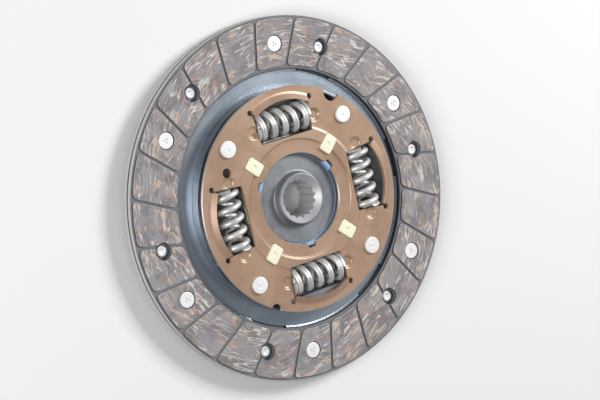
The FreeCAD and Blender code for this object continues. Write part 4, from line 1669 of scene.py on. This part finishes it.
@dataclass
class StopPins:
    """Shouldered pins between the side plates, with a dot and a faint ring in each head.

    The ring is four radii: its inner edge and floor, then its outer floor and edge.
    """

    circle_r: float = 53.2
    shank_r: float = 4.1
    neck_r: float = 3.0
    head_r: float = 4.6
    head_t: float = 1.4
    dot_r: float = 0.5
    dot_depth: float = 0.9
    ring: tuple[float, float, float, float] = (1.25, 1.35, 1.6, 1.7)
    ring_depth: float = 0.06

    def dress(self, material: bpy.types.Material) -> None:
        """Builds the pins.

        Args:
            material: Their finish.
        """
        low, high = node_range("stop_pins")
        drive_top = node_range("rear_friction_washer")[0]
        cover_bottom = high - self.head_t - SidePlates.thickness
        floor, groove = high - self.dot_depth, high - self.ring_depth
        # Radius, height and easing of each corner
        section = [
            (0, floor, 0),
            (self.dot_r - 0.1, floor + 0.1, 0.05),
            (self.dot_r, high, 0.1),
            (self.ring[0], high, 0.08),
            (self.ring[1], groove, 0.03),
            (self.ring[2], groove, 0.03),
            (self.ring[3], high, 0.08),
            (self.head_r, high, 0.5),
            (self.head_r, high - self.head_t, 0.1),
            (self.neck_r, high - self.head_t, 0),
            (self.neck_r, cover_bottom, 0),
            (self.shank_r, cover_bottom, 0.2),
            (self.shank_r, drive_top, 0.2),
            (self.neck_r, drive_top, 0),
            (self.neck_r, low + self.head_t, 0),
            (self.head_r, low + self.head_t, 0.1),
            (self.head_r, low, 0.6),
            (0, low, 0),
        ]
        pin = lathed(rounded(section, closed=False)).moved((self.circle_r, 0, 0))
        mesh = as_mesh("pin_set", joined(ring_of(pin, WINDOWS, BETWEEN)))
        put("pin_set", [mesh], "disc", ["stop_pins"], material)


@dataclass
class SplinedHub:
    """The hub: toothed bore, barrel, collar and windowed flange in one closed section.

    Tooth angles count from the middle of a gap between two teeth. A lead-in is the cone at an end.
    """

    length: float = 18.6
    barrel_r: float = 15.0
    nose_r: float = 13.9
    collar_r: float = 24.15
    collar_rise: float = 0.4
    flange_r: float = 58.5
    flange: Span = (10.8, 14.0)
    root_r: float = 10.5
    tip_r: float = 9.8
    teeth: int = 16
    root_middle: float = 2.1
    root_half: float = 4.2
    tip_half: float = 6.2
    tip_middle: float = 8.7
    flank_ease: float = 0.4
    lead_in_r: float = 13.2
    lead_in: float = 2.4
    lead_in_past: float = 1.2
    rear_lead_in: float = 0.6
    rear_slope: float = 2.0
    bore_rows: tuple[float, ...] = (12.0, 9.0, 2.0, 1.2)
    window: tuple[float, float, float] = (33.8, 52.7, 16.85)
    window_ease: float = 1.0
    notch_inner: float = 48.95
    notch_half: float = 12.82
    past: float = 3.0
    cut: Span = (9.0, 16.0)

    def columns(self) -> np.ndarray:
        """Angles for the grid, set on the flanks of each tooth.

        Returns:
            The angles in one row.
        """
        pitch = 360.0 / self.teeth
        root = [0, self.root_middle, self.root_half - self.flank_ease, self.root_half]
        tip = [self.tip_half, self.tip_half + self.flank_ease, self.tip_middle]
        inner = np.array([*root, (self.root_half + self.tip_half) / 2, *tip])
        local = np.concatenate([-inner[:0:-1], inner, [pitch / 2]])
        return merged_angles(*[pitch * k + local for k in range(self.teeth)])

    def bore_radius(self, angle: np.ndarray, height: np.ndarray) -> np.ndarray:
        """The bore's wall: the larger of the tooth form by angle and the lead-in cones by height.

        Args:
            angle: Angles in degrees, in one row.
            height: Heights, in one column.

        Returns:
            The radii, by row and column.
        """
        pitch = 360.0 / self.teeth
        off = np.abs((angle + pitch / 2) % pitch - pitch / 2)
        tooth = np.interp(off, [self.root_half, self.tip_half], [self.root_r, self.tip_r])
        start = self.length - self.lead_in
        front = self.root_r + (height - start) * (self.lead_in_r - self.root_r) / self.lead_in
        front = np.where(height >= start - self.lead_in_past, front, 0.0)
        rear = self.tip_r + self.rear_slope * (self.rear_lead_in - height)
        rear = np.where(height <= self.rear_lead_in, rear, 0.0)
        return np.maximum(tooth, np.maximum(front, rear))

    def shell(self) -> Shell:
        """The closed section carried round: up the outside, then down the toothed bore.

        Returns:
            The hub before its windows and notches are cut.
        """
        flange_low, flange_high = self.flange
        collar_top = flange_high + self.collar_rise
        # Radius, height and easing of each corner
        outside = rounded(
            [
                (self.tip_r + self.rear_slope * self.rear_lead_in, 0, 0),
                (self.barrel_r, 0, 0.8),
                (self.barrel_r, flange_low, 0.8),
                (self.flange_r, flange_low, 0.3),
                (self.flange_r, flange_high, 0.3),
                (self.collar_r, flange_high, 0.1),
                (self.collar_r, collar_top, 0.3),
                (self.barrel_r - 0.2, collar_top, 1.2),
                (self.nose_r, self.length, 0.45),
                (self.lead_in_r, self.length, 0),
            ],
            closed=False,
        )
        front = np.linspace(self.length, self.length - self.lead_in - self.lead_in_past, 14)
        down = np.concatenate([front, self.bore_rows, np.linspace(self.rear_lead_in, 0, 4)])[1:, None]
        angle = self.columns()
        level = np.ones_like(angle)
        radius = np.vstack([outside[:, :1] * level, self.bore_radius(angle, down)])
        height = np.vstack([outside[:, 1:] * level, down * level])
        return grid_shell(round_axis(radius, angle, height))

    def dress(self, material: bpy.types.Material) -> None:
        """Builds the hub with the flange's spring windows and stop notches cut.

        Args:
            material: Its finish.
        """
        start, end, half = self.window
        window = prism(rounded(oblong((start, -half), (end, half), self.window_ease)), *self.cut)
        notch = prism(sector_outline(self.notch_inner, self.flange_r + self.past, self.notch_half), *self.cut)
        mesh = carved("hub", self.shell(), [ring_of(window, WINDOWS), ring_of(notch, WINDOWS, BETWEEN)])
        put("hub_forging", [mesh], "hub", ["hub"], material)


@dataclass(frozen=True)
class Coil:
    """A coil spring with one closed turn at each end, both ends ground flat.

    The wire starts at the phase. An end loses the ground share of its wire's thickness, and the closed
    turns ease into the open ones between the two turns given.
    """

    outer_d: float
    wire_d: float
    turns: float
    hand: Hand
    length: float = 33.4
    phase: float = 270.0
    ground: float = 0.65
    closed: Span = (0.85, 1.15)
    steps: int = 36
    sides: int = 16
    samples: int = 2000

    def shell(self) -> Shell:
        """The spring's surface.

        The wire's middle line is (R cos a, R sin a, h(a)), where h climbs by one wire thickness a turn
        in the closed turns and by the pitch between them, eased into each other. The section is a
        circle square to the line, and what stands past the length is pressed flat.

        Returns:
            The spring along Y, centred on the origin.
        """
        coil_r = (self.outer_d - self.wire_d) / 2
        span = self.length - self.wire_d * (1 - 2 * self.ground)
        pitch = (span - 2 * self.wire_d) / (self.turns - 2)
        turn = np.linspace(0, self.turns, int(self.turns * self.steps) + 1)
        fine = np.linspace(0, self.turns, self.samples)
        start, end = self.closed
        is_open = smooth(start, end, fine) * (1 - smooth(self.turns - end, self.turns - start, fine))
        rate = self.wire_d + (pitch - self.wire_d) * is_open
        climb = np.concatenate([[0], np.cumsum((rate[1:] + rate[:-1]) / 2 * np.diff(fine))])
        rise = np.interp(turn, fine, climb * span / climb[-1]) - span / 2
        angle = np.radians(self.hand.value * 360.0 * turn + self.phase)
        out = np.column_stack([np.cos(angle), np.sin(angle), 0 * angle])
        centre = coil_r * out + rise[:, None] * (0, 0, 1)
        ahead = np.gradient(centre, axis=0)
        ahead = ahead / np.linalg.norm(ahead, axis=1, keepdims=True)
        across = np.cross(ahead, out)
        ring = np.linspace(0, 2 * math.pi, self.sides, endpoint=False)[None, :, None]
        wire_r = self.wire_d / 2
        points = centre[:, None] + wire_r * (np.cos(ring) * out[:, None] + np.sin(ring) * across[:, None])
        points[..., 2] = np.clip(points[..., 2], -self.length / 2, self.length / 2)
        shell = grid_shell(points, close_rows=False)
        return Shell(shell.points[:, [0, 2, 1]] * (1, 1, -1), shell.faces)


@dataclass
class DamperSprings:
    """Outer and inner coil springs in the windows."""

    outer: Coil = Coil(outer_d=16.42, wire_d=3.3, turns=6.0, hand=Hand.RIGHT)
    inner: Coil = Coil(outer_d=9.3, wire_d=1.9, turns=7.0, hand=Hand.LEFT)
    circle_r: float = 43.2
    height: float = 12.85
    squeezed: float = 0.785
    sharp: float = 50.0

    def dress(self, material: bpy.types.Material) -> None:
        """Builds the springs, each riding on the springs' body with a mesh of its own.

        Args:
            material: Their finish.
        """
        shells = {"outer": self.outer.shell(), "inner": self.inner.shell()}
        for k in range(WINDOWS):
            angle = WINDOW_PITCH * k
            for label, shell in shells.items():
                placed = shell.moved((self.circle_r, 0, self.height)).turned(angle)
                name, node = f"{label}_coil_{k + 1}", f"{label}_spring_{k + 1}"
                mesh = as_mesh(name, placed)
                made = put(name, [mesh], "springs", [node], material, self.sharp)
                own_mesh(made)


@dataclass
class FrictionPack:
    """The rings that rub on the flange: pegged ring, centring bushing, washers and cone spring.

    The peg's and the lugs' edges are rows of how far in and how far below the top each one lies. The
    dimple's rows are shares of its radius and of its depth.
    """

    inner_r: float = 28.0
    outer_r: float = 33.4
    ring_t: float = 1.1
    ring_ease: float = 0.2
    peg_centre_r: float = SidePlates.peg_centre_r
    peg_size: Span = (10.0, 7.4)
    peg_ease: float = 1.5
    peg_root: float = 0.1
    peg_edge: tuple[Span, ...] = ((0.0, 0.5), (0.1, 0.2), (0.35, 0.05), (0.7, 0.0))
    dimple_r: float = 1.2
    dimple_depth: float = 0.8
    dimple_rows: tuple[Span, ...] = ((1.12, 0.0), (1.0, 0.12), (0.95, 0.6), (0.6, 0.9), (0.05, 1.0))
    collar_r: float = 24.3
    bushing_r: float = 25.0
    bushing_t: float = 0.3
    bushing_shift: Span = (0.1, -0.4)
    lug_root: Span = (24.35, 3.4)
    lug_tip: Span = (26.6, 2.2)
    lug_ease: float = 0.5
    lug_edge: tuple[Span, ...] = ((0.0, 0.35), (0.12, 0.1), (0.35, 0.0))

    def peg(self, low: float, high: float) -> Shell:
        """A square peg with eased corners: its outline carried up, over a soft rim and into a dimple.

        Args:
            low: The height of its foot.
            high: The height of its top.

        Returns:
            The peg on +X.
        """
        half = np.array(self.peg_size) / 2
        outline = rounded(oblong(-half, half, self.peg_ease), steps=6)
        sides = edged(outline, (low,), high, self.peg_edge)
        centre = disc_outline(1.0, count=len(outline))
        match = np.argmin(np.linalg.norm(outline[0] / np.linalg.norm(outline[0]) - centre, axis=1))
        circle = np.roll(centre, -match, axis=0)
        shares = np.array(self.dimple_rows)[:, :, None, None]
        heights = high - self.dimple_depth * shares[:, 1]
        places = circle[None] * self.dimple_r * shares[:, 0]
        bowl = np.concatenate([places, heights + 0 * places[..., :1]], axis=-1)
        shell = grid_shell(np.concatenate([sides, bowl]), close_rows=False)
        return shell.moved((self.peg_centre_r, 0, 0))

    def ring(self) -> bpy.types.Mesh:
        """The friction ring with its pegs.

        Returns:
            Its mesh.
        """
        low, high = node_range("front_friction_ring")
        body = rounded(oblong((self.inner_r, low), (self.outer_r, low + self.ring_t), self.ring_ease))
        pegs = ring_of(self.peg(low + self.peg_root, high), WINDOWS, BETWEEN)
        return as_mesh("pegged_ring", joined([revolved(body), *pegs]))

    def bushing(self) -> bpy.types.Mesh:
        """The centring bushing with its tapered lugs, its outer edge off centre by the shift.

        Returns:
            Its mesh.
        """
        low, high = node_range("centering_bushing")
        top = low + self.bushing_t
        # Radius, height and easing of each corner
        corners = [
            (self.collar_r, low, 0.3),
            (self.bushing_r, low, 0.2),
            (self.bushing_r, top, 0.2),
            (self.collar_r, top, 0.5),
        ]
        ring = revolved(rounded(corners))
        outer = np.hypot(ring.points[:, 0], ring.points[:, 1]) > (self.collar_r + self.bushing_r) / 2
        ring = Shell(ring.points + outer[:, None] * np.array([*self.bushing_shift, 0]), ring.faces)
        outline = tapered(self.lug_root, self.lug_tip, self.lug_ease)
        lug = grid_shell(edged(outline, (low,), high, self.lug_edge), close_rows=False)
        return as_mesh("bushing", joined([ring, *ring_of(lug, SidePlates.lug_count, SidePlates.lug_phase)]))

    def dress(self, finishes: dict[str, bpy.types.Material], nodes: dict[str, bpy.types.Object]) -> None:
        """Builds the ring and the bushing, and dresses the washers that stay as they are.

        Args:
            finishes: Materials by slot.
            nodes: The CAD nodes by name.
        """
        cream, blue = finishes["cream_plastic"], finishes["blue_plastic"]
        put("pegged_ring", [self.ring()], "disc", ["front_friction_ring"], cream)
        put("collar_bushing", [self.bushing()], "disc", ["centering_bushing"], blue)
        kept = {
            "support_washer": "washer_steel",
            "cone_spring": "washer_steel",
            "rear_friction_washer": "dark_plastic",
            "rear_bushing": "dark_plastic",
        }
        for name, slot in kept.items():
            nodes[name].data.materials.clear()
            nodes[name].data.materials.append(finishes[slot])
            LOG.info("%s: kept, finish %s", name, slot)


# The room


@dataclass(frozen=True)
class Lamp:
    """A square soft lamp aimed at the disc, its place and width in metres and its power in watts."""

    name: str
    at: tuple[float, float, float]
    width: float
    power: float

    def light(self) -> None:
        """Hangs the lamp."""
        data = bpy.data.lights.new(self.name, "AREA")
        data.shape = "SQUARE"
        data.size = self.width
        data.energy = self.power
        lamp = bpy.data.objects.new(self.name, data)
        lamp.location = self.at
        lamp.rotation_mode = "QUATERNION"
        lamp.rotation_quaternion = (-Vector(self.at)).to_track_quat("-Z", "Y")
        bpy.context.scene.collection.objects.link(lamp)


@dataclass
class Studio:
    """Camera, floor, world and lamps. The floor's half width and the clip distances are metres."""

    camera_at: tuple[float, float, float] = (-508.69, 163.24, 863.09)
    look_at: tuple[float, float, float] = (3.34, -1.98, 11.0)
    up: tuple[float, float, float] = (0.2743, 0.9614, -0.0216)
    lens: float = 110.47
    sensor: float = 36.0
    clip: Span = (0.01, 50.0)
    floor_colour: Colour = (0.80, 0.80, 0.79)
    floor_roughness: float = 0.9
    floor_half: float = 4.0
    world_colour: Colour = (0.95, 0.97, 1.0)
    world_strength: float = 0.21
    key: Lamp = Lamp("key", (0.95, 0.42, 0.85), 0.5, 16.0)
    fill: Lamp = Lamp("fill", (-0.95, 0.1, 0.72), 0.6, 9.0)

    def camera(self) -> None:
        """Places the camera at the photograph's angle."""
        data = bpy.data.cameras.new("camera")
        data.lens = self.lens
        data.sensor_width = self.sensor
        data.clip_start, data.clip_end = self.clip
        at, aim = Vector(self.camera_at) * MM, Vector(self.look_at) * MM
        back = (at - aim).normalized()
        right = Vector(self.up).cross(back).normalized()
        over = back.cross(right)
        matrix = Matrix((right, over, back)).transposed().to_4x4()
        matrix.translation = at
        camera = bpy.data.objects.new("camera", data)
        camera.matrix_world = matrix
        bpy.context.scene.collection.objects.link(camera)
        bpy.context.scene.camera = camera

    def floor(self) -> None:
        """A plain pale floor that the hub's rear end rests on."""
        h = self.floor_half
        mesh = bpy.data.meshes.new("floor")
        mesh.from_pydata([(-h, -h, 0), (h, -h, 0), (h, h, 0), (-h, h, 0)], [], [(0, 1, 2, 3)])
        material, _, shader, _ = new_material("floor")
        shader.inputs["Base Color"].default_value = (*self.floor_colour, 1.0)
        shader.inputs["Roughness"].default_value = self.floor_roughness
        mesh.materials.append(material)
        as_object("floor", mesh)

    def world(self) -> None:
        """An even, slightly cool surround."""
        world = bpy.data.worlds.new("surround")
        world.use_nodes = True
        bpy.context.scene.world = world
        background = world.node_tree.nodes["Background"]
        background.inputs["Color"].default_value = (*self.world_colour, 1.0)
        background.inputs["Strength"].default_value = self.world_strength

    def build(self) -> None:
        """Sets up the whole room."""
        self.camera()
        self.floor()
        self.world()
        self.key.light()
        self.fill.light()
        bpy.context.scene.view_settings.view_transform = "Standard"


def main() -> None:
    """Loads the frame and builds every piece."""
    logging.basicConfig(level=logging.INFO, format="%(name)s: %(message)s")
    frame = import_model()
    effects = Effects()
    finishes = {finish.name: finish.build(effects) for finish in (*METALS, *PLASTICS)}
    Studio().build()
    FrictionFacing().dress(effects, finishes["bright_zinc"])
    CushionDisc().dress(finishes["spring_steel_sheet"])
    SidePlates().dress(finishes["cover_coating"], finishes["pressed_steel"])
    StopPins().dress(finishes["bright_zinc"])
    SplinedHub().dress(finishes["forged_steel"])
    DamperSprings().dress(finishes["coil_steel"])
    FrictionPack().dress(finishes, frame["nodes"])


if __name__ == "__main__":
    main()
